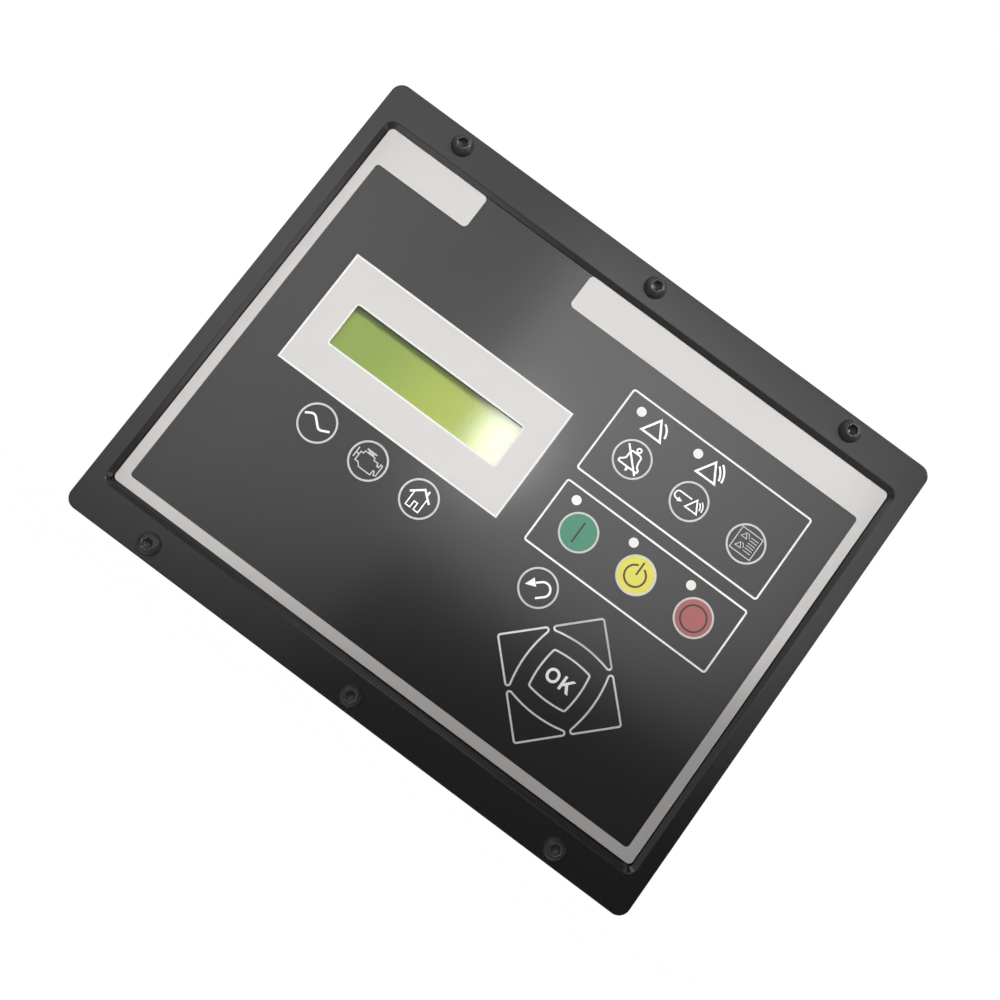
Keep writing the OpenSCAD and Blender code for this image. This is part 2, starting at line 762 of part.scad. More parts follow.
// White lines: display outlines, group boxes, rings of the keys and outlines of the arrow keys
module line_print() {
    color("#fafaf8") upright() layer(overlay_front, overlay_front + print_t) {
        surround_place() {
            difference() {
                square([surround_w, surround_h], center = true);
                square([surround_w - 2 * line_w, surround_h - 2 * line_w], center = true);
            }
            difference() {
                window_line(window_ring_w);
                window_line(0);
            }
        }
        translate([group_x, alarm_key_z + alarm_box_rise])
            rect_ring(group_w, alarm_box_h, box_corner_r, line_w);
        translate([group_x, run_key_z]) rect_ring(group_w, run_box_h, box_corner_r, line_w);
        at(round_keys) ring(key_r, line_w);
        translate(nav_at) {
            for (a = [0 : 90 : 270]) rotate(a)
                nav_outline(arrow_points(line_w / 2), arrow_points(-line_w / 2));
            nav_outline(ok_points(line_w / 2), ok_points(-line_w / 2));
        }
    }
}

// Coloured disc of one run key
module key_disc(place) {
    upright() layer(overlay_front, overlay_front + print_t) translate(place) circle(key_disc_r);
}

module start_key_print() {
    color("#4ba07d") key_disc(run_keys[0]);
}

module auto_key_print() {
    color("#ebe155") key_disc(run_keys[1]);
}

module stop_key_print() {
    color("#be5a5f") key_disc(run_keys[2]);
}

// Milky dots over the light pipes
module lamp_print() {
    color("#efece8") upright() layer(overlay_front, overlay_front + print_t) at(lamps) circle(lamp_r);
}

// Spacer film with a round cavity for each snap dome
module keypad_spacer() {
    color("#b9c4c9") upright() layer(spacer_rear, overlay_rear) difference() {
        overlay_outline();
        window_outline();
        at(concat(round_keys, nav_domes)) circle(dome_r + close_gap);
        at(lamps) circle(pipe_hole_r);
    }
}

// Thin steel domes that click under the keys
module snap_domes() {
    dome_t = 0.1;
    rise = spacer_t - close_gap;
    foot = 0.08;
    color("silver") upright() at(concat(round_keys, nav_domes)) translate([0, 0, spacer_rear])
        rotate_extrude() polygon(concat(
            [for (i = [0 : arc_steps]) let (t = i / arc_steps)
                [dome_r * (1 - t), foot + (rise - foot) * sin(90 * t)]],
            [for (i = [arc_steps : -1 : 0]) let (t = i / arc_steps)
                [(dome_r - dome_t) * (1 - t), (rise - dome_t) * sin(90 * t)]]));
}

// Flexible tail, from the circuit film through the plate into its connector
module keypad_tail() {
    drop = circuit_rear - tail_low - tail_bend_r;
    translate([tail_x - tail_w / 2, 0, 0]) rotate([90, 0, 90]) linear_extrude(tail_w) {
        translate([tail_z - circuit_t / 2, tail_low + tail_bend_r]) square([circuit_t, drop + small]);
        polygon(concat(
            arc([tail_z + tail_bend_r, tail_low + tail_bend_r], tail_bend_r + circuit_t / 2, 180, 270),
            arc([tail_z + tail_bend_r, tail_low + tail_bend_r], tail_bend_r - circuit_t / 2, 270, 180)));
        translate([tail_z + tail_bend_r, tail_low - circuit_t / 2])
            square([connector_z - connector_h / 2 - tail_z - tail_bend_r, circuit_t]);
    }
}

// Circuit film with its tail
module keypad_circuit() {
    color("#8fb7a5") upright() {
        layer(circuit_rear, spacer_rear) difference() {
            overlay_outline();
            window_outline();
            at(lamps) circle(pipe_hole_r);
        }
        keypad_tail();
    }
}

// Aluminium plate that stiffens the keypad and carries the display and the boards
module keypad_plate() {
    color("#a8abad") upright() layer(plate_rear, circuit_rear) difference() {
        overlay_outline();
        translate(display_at)
            square([lcd_w + 2 * plate_window_gap, lcd_h + 2 * plate_window_gap], center = true);
        at(lamps) circle(pipe_hole_r);
        translate([tail_x, tail_z]) square([tail_slot_w, tail_slot_h], center = true);
    }
}

// Clear window behind the overlay's opening
module display_lens() {
    color("#dfe8ea", 0.35) upright() layer(lens_rear, circuit_rear) translate(display_at)
        square([lens_w, lens_h], center = true);
}

// Sheet metal frame of the display
module display_bezel() {
    color("#3a3c3e") upright() translate(display_at) difference() {
        layer(backlight_rear, bezel_front) square([lcd_w, lcd_h], center = true);
        layer(backlight_rear - small, glass_front)
            square([lcd_w - 2 * bezel_t, lcd_h - 2 * bezel_t], center = true);
        layer(glass_front - small, bezel_front + small)
            square([window_w + 2 * view_margin_x, window_h + 2 * view_margin_z], center = true);
    }
}

module display_inside(low, high) {
    clear = 2 * (bezel_t + close_gap);
    upright() layer(low, high) translate(display_at) square([lcd_w - clear, lcd_h - clear], center = true);
}

module display_glass() {
    color("#9db260") display_inside(glass_rear, glass_front);
}

module display_backlight() {
    color("#e8e8d8") display_inside(backlight_rear, glass_rear);
}

// Circuit board of the display
module display_board() {
    color("#2f6b4a") upright() layer(display_board_rear, backlight_rear) difference() {
        translate(display_at) square([display_board_w, display_board_h], center = true);
        at(display_holes) circle(tiny_screw_r + fit_gap);
    }
}

// Spacers between the plate and the display's board
module display_standoffs() {
    color("#c9b36a") upright() at(display_holes) layer(backlight_rear, plate_rear) difference() {
        circle(display_standoff_r);
        circle(tiny_screw_r + fit_gap);
    }
}

// Cross-head screw with its head below z = 0 and its shank above
module rear_screw(r, head_r, head_h, length, slot_w) {
    chamfer = 0.35 * head_h;
    slot_reach = 0.55 * head_r;
    slot_d = 0.55 * head_h;
    cylinder(r = r, h = length);
    difference() {
        translate([0, 0, -head_h]) {
            translate([0, 0, chamfer]) cylinder(r = head_r, h = head_h - chamfer);
            cylinder(r1 = head_r - chamfer, r2 = head_r, h = chamfer);
        }
        translate([0, 0, -head_h - small]) for (a = [0, 90]) rotate(a)
            translate([-slot_reach, -slot_w / 2, 0]) cube([2 * slot_reach, slot_w, slot_d]);
    }
}

module display_screws() {
    color("silver") upright() translate([0, 0, display_board_rear]) at(display_holes)
        rear_screw(tiny_screw_r, tiny_screw_head_r, tiny_screw_head_h, tiny_screw_length, tiny_slot_w);
}

// Pin strip that joins the display's board to the main board
module display_link() {
    color("#202020") upright() layer(board_front, display_board_rear) translate([display_x, link_z])
        square([link_w, link_t], center = true);
}

// Clear rods that carry light from the board to the face
module light_pipes() {
    color("#e9eef0", 0.6) upright() at(lamps) {
        layer(board_front + lamp_chip_t + close_gap, overlay_rear) circle(pipe_r);
        layer(plate_rear - pipe_collar_t, plate_rear) circle(pipe_collar_r);
    }
}

// Lamp chips on the main board
module status_lamps() {
    color("#f4f0dc") upright() layer(board_front, board_front + lamp_chip_t) at(lamps)
        square(lamp_chip, center = true);
}

// Main circuit board
module main_board() {
    color("#1f5c3d") upright() layer(board_rear, board_front) difference() {
        round_rect(board_w, board_h, board_corner_r);
        at(board_holes) circle(small_screw_r + fit_gap);
        at(pins) circle(pin_r + pin_clear);
    }
}

// Hexagon spacers between the plate and the main board
module board_standoffs() {
    color("#c9b36a") upright() at(board_holes) difference() {
        layer(board_front, plate_rear) circle(standoff_hex / 2 / cos(30), $fn = 6);
        layer(board_front - small, board_front + small_screw_length) circle(small_screw_r + fit_gap);
    }
}

module board_screws() {
    color("silver") upright() translate([0, 0, board_rear]) at(board_holes)
        rear_screw(small_screw_r, small_screw_head_r, small_screw_head_h, small_screw_length, small_slot_w);
}

// Clamp connector for the keypad's tail
module keypad_connector() {
    color("#e6dfc8") upright() layer(board_front, board_front + connector_t) translate([tail_x, connector_z])
        square([connector_w, connector_h], center = true);
}

// A part on the main board's rear face
module on_board(height) {
    upright() layer(board_rear - height, board_rear) children();
}

// Processor in a flat square package, with a row of leads on each side
module processor() {
    rows = floor((processor_w / 2 - lead_w) / lead_pitch);
    color("#1b1b1b") {
        on_board(processor_t) translate(processor_at) square(processor_w, center = true);
        on_board(lead_t) translate(processor_at) for (a = [0, 90], i = [-rows : rows])
            rotate(a) translate([i * lead_pitch, 0])
                square([lead_w, processor_w + 2 * lead_reach], center = true);
    }
}

module driver_chips() {
    color("#1b1b1b") on_board(chip_t) at(chip_places) square([chip_w, chip_h], center = true);
}

// Electrolytic capacitors, with a rolled groove above each foot
module capacitors() {
    color("#3b4654") upright() translate([0, 0, board_rear]) at(can_places) rotate([180, 0, 0])
        rotate_extrude() polygon(concat(
            [[0, 0], [can_r, 0]],
            arc([can_r, can_groove_h], can_groove_r, -90, -270),
            arc([can_r - can_edge_r, can_h - can_edge_r], can_edge_r, 0, 90),
            [[0, can_h]]));
}

module relays() {
    color("#22303c") on_board(relay_t) at(relay_places) square([relay_w, relay_h], center = true);
}

// Small transformers that sense the measured lines: a base with the wound core above it
module transformers() {
    color("#2b2a33") {
        on_board(transformer_t - transformer_top_t) at(transformer_places)
            square([transformer_w, transformer_h], center = true);
        on_board(transformer_t) at(transformer_places)
            square([transformer_w, transformer_h] - 2 * transformer_step * [1, 1], center = true);
    }
}

module socket_outline(grow) {
    translate(socket_at) round_rect(shroud_w + 2 * grow, shroud_h + 2 * grow, socket_corner_r + grow);
}

module socket_inner() {
    difference() {
        translate(socket_at) round_rect(socket_inner_w, socket_inner_h, 1);
        for (x = key_rib_places) translate(socket_at + [x, socket_inner_h / 2 - key_rib_h / 2 + small])
            square([key_rib_w, key_rib_h + 2 * small], center = true);
    }
}

// Moulded shell of the plug socket: base on the board, sealing flange and shroud
module socket_shell() {
    color("#3c3f42") upright() difference() {
        union() {
            layer(socket_flange_front, board_rear) socket_outline(base_margin);
            layer(socket_flange_rear, socket_flange_front) socket_outline(flange_margin);
            layer(socket_rear, socket_flange_rear) socket_outline(0);
        }
        layer(socket_floor + socket_floor_t, board_rear + small) translate(socket_at)
            round_rect(socket_inner_w, socket_inner_h, 1);
        difference() {
            layer(socket_rear - small, socket_floor) socket_inner();
            translate(socket_at) layer(socket_floor - insert_d + insert_proud, socket_floor + small)
                circle(insert_boss_r);
        }
        translate(socket_at) layer(socket_floor - insert_d, socket_floor) circle(insert_r + pin_clear);
        at(pins) layer(socket_floor - small, socket_floor + socket_floor_t + small)
            circle(pin_r + pin_clear);
    }
}

// Contact pins, from the board through the shell's floor
module socket_pins() {
    tip = 0.5;
    color("#c8b560") upright() at(pins) {
        layer(socket_rear + pin_stop + tip, board_front + pin_tail) circle(pin_r);
        translate([0, 0, socket_rear + pin_stop]) cylinder(r1 = pin_r - tip, r2 = pin_r, h = tip);
    }
}

// Threaded brass insert for the plug's centre screw
module socket_insert() {
    color("#c8a850") upright() translate(socket_at) layer(socket_floor - insert_d, socket_floor)
        ring((insert_r + insert_bore_r) / 2, insert_r - insert_bore_r);
}

// Seal between the shell's flange and the housing
module socket_seal() {
    color("#b5542f") upright() layer(tub_floor, socket_flange_rear) difference() {
        socket_outline(flange_margin - socket_seal_inset);
        socket_outline(socket_seal_inset);
    }
}

// Section of the tub: drafted side, round back edge and floor
module tub_section() {
    r = tub_corner_r;
    lean = tan(tub_draft);
    inner_edge_r = tub_edge_r - tub_wall;
    wall_across = tub_wall / cos(tub_draft);
    outer_at = r - (rim_rear - tub_rear - tub_edge_r) * lean - tub_edge_r / cos(tub_draft);
    inner_at = r - wall_across - (rim_rear - tub_floor - inner_edge_r) * lean
        - inner_edge_r / cos(tub_draft);
    polygon(concat(
        [[r - wall_across + rim_t * lean, rim_front], [r, rim_front], [r, rim_rear]],
        arc([outer_at, tub_rear + tub_edge_r], tub_edge_r, -tub_draft, -90),
        [[0, tub_rear], [0, tub_floor]],
        arc([inner_at, tub_floor + inner_edge_r], inner_edge_r, -90, -tub_draft)));
}

// Side view of a cooling rib, with round shoulders
module rib_outline(length) {
    polygon(concat(
        [[-length / 2, small], [length / 2, small]],
        arc([length / 2 - rib_h, 0], rib_h, 0, -90),
        arc([-length / 2 + rib_h, 0], rib_h, -90, -180)));
}

// Cooling ribs across the back, open round the socket
module ribs() {
    length = tub_h - 2 * (tub_edge_r + rib_end_gap);
    count = floor((tub_w / 2 - tub_edge_r - rib_side_gap) / rib_pitch);
    difference() {
        for (i = [-count : count]) translate([i * rib_pitch - rib_t / 2, 0, tub_rear])
            rotate([90, 0, 90]) linear_extrude(rib_t) rib_outline(length);
        layer(tub_rear - rib_h - 1, tub_rear) socket_outline(rib_clearing);
    }
}

// Gussets that brace the rim against the tub's side
module gussets() {
    root = tub_wall / 2;     // start inside the tub's wall
    toe = 1;                 // height of a gusset at its outer end
    for (p = gusset_places) translate([p[0], p[1], 0]) rotate([90, 0, p[2]])
        linear_extrude(gusset_t, center = true) polygon([
            [-root, rim_rear + small], [gusset_w, rim_rear + small], [gusset_w, rim_rear - toe],
            [0, rim_rear - gusset_h], [-root, rim_rear - gusset_h]]);
}

// Cast rear housing: rim with screw holes, drafted tub, gussets, cooling ribs and the socket's opening
module rear_housing() {
    color("#26282a") upright() difference() {
        union() {
            sweep_round_rect(tub_w, tub_h, tub_corner_r) tub_section();
            translate([0, 0, tub_rear + tub_wall / 2])
                cube([tub_w - 2 * tub_corner_r, tub_h - 2 * tub_corner_r, tub_wall], center = true);
            layer(rim_rear, rim_front) difference() {
                round_rect(skirt_w, skirt_h, skirt_r);
                round_rect(tub_w, tub_h, tub_corner_r);
            }
            ribs();
            gussets();
            layer(tub_rear - collar_h, tub_rear + small) socket_outline(collar_w);
        }
        layer(tub_rear - collar_h - small, tub_floor + small) socket_outline(collar_gap);
        at(cover_screws) layer(rim_rear - small, rim_front + small) circle(cover_hole_r);
    }
}

// Flat seal between the skirt and the housing's rim
module housing_seal() {
    color("#b5542f") upright() layer(rim_front, skirt_rear) difference() {
        round_rect(skirt_w - 1, skirt_h - 1, skirt_r - 0.5);
        round_rect(tub_w + 1, tub_h + 1, tub_corner_r + 0.5);
        at(cover_screws) circle(cover_hole_r);
    }
}

module housing_screws() {
    color("#55585a") upright() translate([0, 0, rim_rear]) at(cover_screws)
        rear_screw(cover_screw_r, cover_screw_head_r, cover_screw_head_h, cover_screw_length, cover_slot_w);
}

front_frame();
panel_gasket();
mounting_screws();
graphic_overlay();
pale_print();
line_print();
start_key_print();
auto_key_print();
stop_key_print();
lamp_print();
keypad_spacer();
snap_domes();
keypad_circuit();
keypad_plate();
display_lens();
display_bezel();
display_glass();
display_backlight();
display_board();
display_standoffs();
display_screws();
display_link();
light_pipes();
status_lamps();
main_board();
board_standoffs();
board_screws();
keypad_connector();
processor();
driver_chips();
capacitors();
relays();
transformers();
socket_shell();
socket_pins();
socket_insert();
socket_seal();
rear_housing();
housing_seal();
housing_screws();
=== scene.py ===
# %% [markdown]
# # A control display panel, dressed in Blender
#
# The panel's shape comes from CAD and is already in place: a stepped front frame, a membrane keypad
# with a two-line display, and a ribbed rear housing. Here it gets its camera, its light, a finish for
# each material, and the signs that are printed on its keys. Everything is in metres. X runs to the
# right, Z up the face, and the face looks towards -Y.

# %% Load the frame
import json
import math

import bpy
from mathutils import Matrix, Vector


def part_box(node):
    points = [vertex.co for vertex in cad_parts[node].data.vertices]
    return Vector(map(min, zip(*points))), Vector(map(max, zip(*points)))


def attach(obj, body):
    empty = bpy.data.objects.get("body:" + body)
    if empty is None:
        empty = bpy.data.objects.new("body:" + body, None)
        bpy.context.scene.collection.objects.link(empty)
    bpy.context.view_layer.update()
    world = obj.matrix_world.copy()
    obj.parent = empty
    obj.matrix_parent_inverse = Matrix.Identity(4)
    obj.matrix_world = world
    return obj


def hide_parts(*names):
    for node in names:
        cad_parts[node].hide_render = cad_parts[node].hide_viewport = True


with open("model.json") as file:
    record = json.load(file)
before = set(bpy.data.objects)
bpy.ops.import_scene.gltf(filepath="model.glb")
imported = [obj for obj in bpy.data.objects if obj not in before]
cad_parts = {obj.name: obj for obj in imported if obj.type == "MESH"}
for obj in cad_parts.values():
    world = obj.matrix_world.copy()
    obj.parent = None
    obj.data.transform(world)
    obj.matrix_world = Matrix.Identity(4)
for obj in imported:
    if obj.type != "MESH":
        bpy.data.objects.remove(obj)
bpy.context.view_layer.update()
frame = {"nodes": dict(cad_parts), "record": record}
nodes = frame["nodes"]
bpy.ops.object.select_all(action="DESELECT")
MM = 0.001
print("CAD nodes:", len(nodes))

# %% [markdown]
# ## The camera
#
# The photo was taken from close in front and a little below, with the camera rolled by about 37
# degrees, so the panel leans in the picture. The place and the turn were worked out from the corners
# of the frame. A camera's turn could be set with a Track To constraint, but that gives no roll, so
# the three angles are written down. The shift moves the picture without turning the camera.

# %% Camera
camera_data = bpy.data.cameras.new("camera")
camera_data.sensor_width = 36
camera_data.lens = 36
camera_data.shift_x = 0.04
camera_data.shift_y = 0.02
camera_data.clip_start = 0.01
camera = bpy.data.objects.new("camera", camera_data)
camera.location = (0.19 * MM, -395.26 * MM, -61.12 * MM)
camera.rotation_euler = [math.radians(angle) for angle in (97.2083, -36.6142, -3.2694)]
bpy.context.scene.collection.objects.link(camera)
bpy.context.scene.camera = camera
bpy.context.scene.view_settings.view_transform = "Standard"
print("Camera at", [round(value, 3) for value in camera.location])

# %% [markdown]
# ## Nodes written as sums
#
# A shader is a web of nodes. Each could be added and linked by hand, but a long formula is then hard
# to read. This class wraps one output socket, so that `1 - grain * 0.2` adds the Math nodes itself,
# and its `node` method adds any other node: first the settings, then the values or links.


# %% Wire
class Wire:
    """An output socket of a node tree, which Python's operators work on."""

    def __init__(self, tree, socket=None):
        self.tree = tree
        self.socket = socket

    def node(self, kind, settings=None, inputs=None, output=0):
        """Adds a node and returns the wire of its output, which goes by name or number."""
        made = self.tree.nodes.new("ShaderNode" + kind)
        for name, value in (settings or {}).items():
            setattr(made, name, value)
        for name, value in (inputs or {}).items():
            if isinstance(value, Wire):
                self.tree.links.new(value.socket, made.inputs[name])
            else:
                made.inputs[name].default_value = value
        return Wire(self.tree, made.outputs[output] if made.outputs else None)

    def math(self, operation, first, second=0.0):
        return self.node("Math", {"operation": operation}, {0: first, 1: second})

    def __add__(self, other):
        return self.math("ADD", self, other)

    def __radd__(self, other):
        return self.math("ADD", other, self)

    def __sub__(self, other):
        return self.math("SUBTRACT", self, other)

    def __rsub__(self, other):
        return self.math("SUBTRACT", other, self)

    def __mul__(self, other):
        return self.math("MULTIPLY", self, other)

    def __rmul__(self, other):
        return self.math("MULTIPLY", other, self)

    def under(self, limit):
        """1 where this wire is smaller than limit, and 0 elsewhere."""
        return self.math("LESS_THAN", self, limit)

    def size(self):
        return self.math("ABSOLUTE", self)

    def blend(self, first, second):
        """The colour first where this wire is 0, and second where it is 1."""
        return self.node(
            "Mix", {"data_type": "RGBA"}, {0: self, 6: colour4(first), 7: colour4(second)}, output=2
        )


def colour4(colour):
    """A colour as a socket takes it: with an alpha of 1 after three numbers."""
    if isinstance(colour, Wire) or len(colour) == 4:
        return colour
    return (*colour, 1)


# %% [markdown]
# ## The studio
#
# The photo's background is plain white, the light comes from the upper left and dies away towards
# the lower right, and the glossy surfaces mirror something bright in the middle. A white background
# could be lit until it is white, but that floods the object too. So the world is white only to rays
# that come from the camera, from glass and from gloss, and it lights the object faintly. To gloss it
# is white behind the panel and black in front, where a photographer's dark room would be.

# %% World
world = bpy.data.worlds.new("studio")
world.use_nodes = True
world.node_tree.nodes.clear()
bpy.context.scene.world = world
AMBIENT = 0.01
RAYS = ("Is Camera Ray", "Is Glossy Ray", "Is Transmission Ray")

start = Wire(world.node_tree)
direction = start.node("TexCoord", output="Generated")
towards = start.node("SeparateXYZ", inputs={"Vector": direction}, output="Y")
room_side = start.node("MapRange", inputs={"Value": towards, "From Min": -0.1, "From Max": 0.2})
camera_ray, gloss_ray, glass_ray = [start.node("LightPath", output=name) for name in RAYS]
straight = start.math("MAXIMUM", camera_ray, glass_ray)
white_share = start.math("MAXIMUM", straight, gloss_ray * room_side)
level = start.math("MAXIMUM", white_share, (1 - gloss_ray) * AMBIENT)
backdrop = start.node("Background", inputs={"Color": (1, 1, 1, 1), "Strength": level})
start.node("OutputWorld", inputs={"Surface": backdrop})
print("World's light on the object:", AMBIENT)

# %% [markdown]
# ## The floor
#
# A plain floor lies well under the panel. To the camera it is nearly as white as the background, by an
# Emission shader that only camera, gloss and glass rays see, and a small diffuse share keeps the
# panel's soft shadow. That share is grey, because a white one would throw light back up at the face.
# In gloss the floor fades out towards the front, so that the slopes round the face mirror it faintly.

# %% Floor
FLOOR_Z = -450 * MM
FLOOR_GLOW = 1.06
GLOW_SHARE = 0.94
bpy.ops.mesh.primitive_plane_add(size=6, location=(0, 0, FLOOR_Z))
floor = bpy.context.object
floor.name = "floor"
bpy.ops.object.transform_apply(location=True)
pale = bpy.data.materials.new("pale_floor")
pale.use_nodes = True
pale.node_tree.nodes.clear()
start = Wire(pale.node_tree)
plain = start.node("BsdfDiffuse", inputs={"Color": (0.3, 0.3, 0.3, 1)})
white = start.node("Emission", inputs={"Color": (1, 1, 1, 1), "Strength": FLOOR_GLOW})
camera_ray, gloss_ray, glass_ray = [start.node("LightPath", output=name) for name in RAYS]
depth = start.node("SeparateXYZ", inputs={"Vector": start.node("TexCoord", output="Object")}, output="Y")
behind = start.node("MapRange", inputs={"Value": depth, "From Min": -0.9, "From Max": 0.6})
straight = start.math("MAXIMUM", camera_ray, glass_ray)
shown = start.math("MAXIMUM", straight, gloss_ray * behind)
start.node(
    "OutputMaterial",
    inputs={"Surface": start.node("MixShader", inputs={0: shown * GLOW_SHARE, 1: plain, 2: white})},
)
floor.data.materials.append(pale)
bpy.ops.object.select_all(action="DESELECT")
print("Floor at", round(FLOOR_Z, 3))

# %% [markdown]
# ## The lamps
#
# The key box stands in front, up and to the left. Its spread is narrow, as with a grid over a real
# one, so its light and its mirror image end softly before the panel's lower right corner. A small
# bright box close above the face throws the pool of light whose edge crosses the keys. A wide, weak
# one far behind the camera, the curtain, gives the film its haze on the right, and the window beside
# it is small and very bright, because the display's cover mirrors it. The slopes round the face mirror
# what stands at the sides, so each of them has a box of its own to see.
#
# A lamp could be turned by hand, but it is simpler to aim it: the turn comes from the line between the
# lamp and its target. The camera doesn't see the boxes, which other views would show otherwise.


# %% Lamps
def soft_box(name, place, target, size, power, spread=180):
    """An area lamp of size (width, height) in metres at place, aimed at target."""
    data = bpy.data.lights.new(name, "AREA")
    data.shape = "RECTANGLE"
    data.size, data.size_y = size
    data.energy = power
    data.spread = math.radians(spread)
    lamp = bpy.data.objects.new(name, data)
    lamp.location = place
    lamp.rotation_euler = (Vector(target) - Vector(place)).to_track_quat("-Z", "Y").to_euler()
    lamp.visible_camera = False
    bpy.context.scene.collection.objects.link(lamp)
    return lamp


soft_box("key_box", (-0.303, -0.58, 0.162), (-0.032, 0, 0.016), (0.568, 0.786), 0.357, spread=66)
soft_box("top_box", (0.14, -0.2, 0.279), (-0.011, 0, 0.106), (0.22, 0.282), 0.177, spread=12)
soft_box("curtain", (0.456, -2.0, 0.502), (0.381, 0, -0.196), (1.287, 0.881), 0.887, spread=52)
soft_box("window", (-0.077, -2.0, 0.392), (-0.03, 0, 0.015), (0.12, 0.15), 0.0054, spread=12)
soft_box("low", (-0.23, -0.1, -0.42), (-0.1, 0, 0.09), (0.2, 0.2), 0.018, spread=60)
soft_box("left_wall", (-1.6, -0.25, 0.25), (0, 0, 0), (1.2, 1.2), 2.7)
soft_box("left_high", (-1.266, -0.339, 0.918), (0, 0, 0), (0.6, 0.6), 2.4)
soft_box("right", (1.552, -0.274, 0.278), (0, 0, 0), (0.6, 0.6), 1.9)
soft_box("above", (0, -0.278, 1.576), (0, 0, 0), (0.6, 0.6), 0.88)
soft_box("rear_left", (-0.9, 1.1, 0.7), (0, 0, 0), (1.0, 1.0), 9.0)
soft_box("rear_right", (1.0, 0.9, 0.2), (0, 0, 0), (0.8, 1.0), 4.0)
print("Lamps:", len(bpy.data.lights))

# %% [markdown]
# ## Moulded plastics
#
# The frame is moulded in a steel tool whose wall is etched, so its surface has a fine grain that
# breaks up the shine. An image could carry the grain, but a noise texture has no seams and holds at
# any distance. It drives a little of the colour, the roughness and a bump of a few micrometres.


# %% Moulded plastic
def finish(name):
    """A new material with an empty node tree, and the wire that its nodes are added through."""
    material = bpy.data.materials.new(name)
    material.use_nodes = True
    material.node_tree.nodes.clear()
    return material, Wire(material.node_tree)


def noise(wire, size, detail=2.0, stretch=(1, 1, 1)):
    """Noise on Object coordinates whose lumps are about size metres across."""
    place = wire.node("TexCoord", output="Object")
    turned = wire.node("Mapping", {"vector_type": "TEXTURE"}, {"Vector": place, "Scale": stretch})
    return wire.node("TexNoise", inputs={"Vector": turned, "Scale": 1 / size, "Detail": detail})


def coat(wire, material, inputs, height=None, depth=0.0):
    """Ends a finish with a Principled shader, and a bump of depth metres where height is given."""
    if height is not None:
        bump = wire.node("Bump", inputs={"Distance": depth, "Height": height})
        inputs = {**inputs, "Normal": bump}
    shader = wire.node("BsdfPrincipled", inputs=inputs)
    wire.node("OutputMaterial", inputs={"Surface": shader})
    return material


def moulded(name, dark, light, roughness, grain=0.6 * MM, depth=0.006 * MM):
    """Moulded plastic: dark and light are the two ends of its slightly uneven colour."""
    material, wire = finish(name)
    cloud = noise(wire, 30 * MM, 3)
    fine = noise(wire, grain)
    return coat(
        wire,
        material,
        {
            "Base Color": cloud.blend(dark, light),
            "Roughness": (fine * 0.3 + 0.85) * roughness,
        },
        fine,
        depth,
    )


finishes = {
    "frame_plastic": moulded("frame_plastic", (0.0205, 0.0205, 0.02), (0.0235, 0.0235, 0.023), 0.22),
    "black_moulding": moulded("black_moulding", (0.010, 0.010, 0.011), (0.015, 0.015, 0.016), 0.5),
    "ivory_moulding": moulded("ivory_moulding", (0.70, 0.63, 0.46), (0.76, 0.70, 0.55), 0.45),
    "relay_case": moulded("relay_case", (0.012, 0.030, 0.055), (0.018, 0.042, 0.07), 0.32),
    "transformer_case": moulded("transformer_case", (0.025, 0.025, 0.03), (0.035, 0.035, 0.04), 0.6),
    "socket_moulding": moulded("socket_moulding", (0.03, 0.032, 0.036), (0.045, 0.047, 0.05), 0.48),
    "black_screw": moulded("black_screw", (0.028, 0.028, 0.028), (0.036, 0.036, 0.036), 0.5),
    "can_sleeve": moulded("can_sleeve", (0.02, 0.035, 0.06), (0.03, 0.045, 0.075), 0.25),
}
print("Mouldings:", len(finishes))

# %% [markdown]
# ## Films and inks
#
# The face is one sheet of satin polyester, printed from behind and in front. Its skin has a grain of a
# few tenths of a millimetre and only a micrometre deep, so it shows as a soft shine and not as spots.
# The screen-printed inks differ a little in thickness, so their colour drifts by a few parts in a
# hundred. The white of the signs is given a faint glow, which is painted light: the ink sends out
# light of its own, though it is no lamp.


# %% Films and inks
def printed(name, colour, roughness, drift=0.05, grain=0.25 * MM, depth=0.001 * MM, glow=0.0):
    """Ink or film: one colour that drifts slightly, with a very fine skin."""
    material, wire = finish(name)
    cloud = noise(wire, 18 * MM, 4)
    fine = noise(wire, grain)
    thin = tuple(channel * (1 - drift) for channel in colour)
    thick = tuple(min(1.0, channel * (1 + drift)) for channel in colour)
    return coat(
        wire,
        material,
        {
            "Base Color": cloud.blend(thin, thick),
            "Roughness": (fine * 0.2 + 0.9) * roughness,
            # A glow above 0 is painted light: the ink gives off light of its own.
            "Emission Color": (1, 1, 1, 1),
            "Emission Strength": glow,
        },
        fine,
        depth,
    )


finishes |= {
    "charcoal_film": printed("charcoal_film", (0.035, 0.035, 0.035), 0.157),
    "pale_ink": printed("pale_ink", (0.685, 0.66, 0.64), 0.45, drift=0.015),
    # Painted light: the white ink glows faintly.
    "white_ink": printed("white_ink", (0.88, 0.88, 0.87), 0.45, drift=0.02, glow=0.2),
    "green_ink": printed("green_ink", (0.065, 0.258, 0.16), 0.42, drift=0.04),
    "yellow_ink": printed("yellow_ink", (0.755, 0.68, 0.1), 0.42, drift=0.03),
    "red_ink": printed("red_ink", (0.41, 0.118, 0.116), 0.42, drift=0.04),
    "milky_ink": printed("milky_ink", (0.85, 0.82, 0.79), 0.3, drift=0.04),
    "sign_ink": printed("sign_ink", (0.035, 0.034, 0.032), 0.45, drift=0.04),
    "spacer_film": printed("spacer_film", (0.45, 0.52, 0.54), 0.35),
    "circuit_film": printed("circuit_film", (0.2, 0.4, 0.3), 0.3, drift=0.12),
}
print("With films and inks:", len(finishes))

# %% [markdown]
# The thin lines on the film are one print, but the rings of the round keys are a greyer white than the
# frames round the groups and the arrows. Their places are known, in millimetres from the middle of the
# panel, so the colour is chosen by the Object coordinates: the three rows of keys, without the upright
# lines of the group frames. The signs on the keys will use the same places.

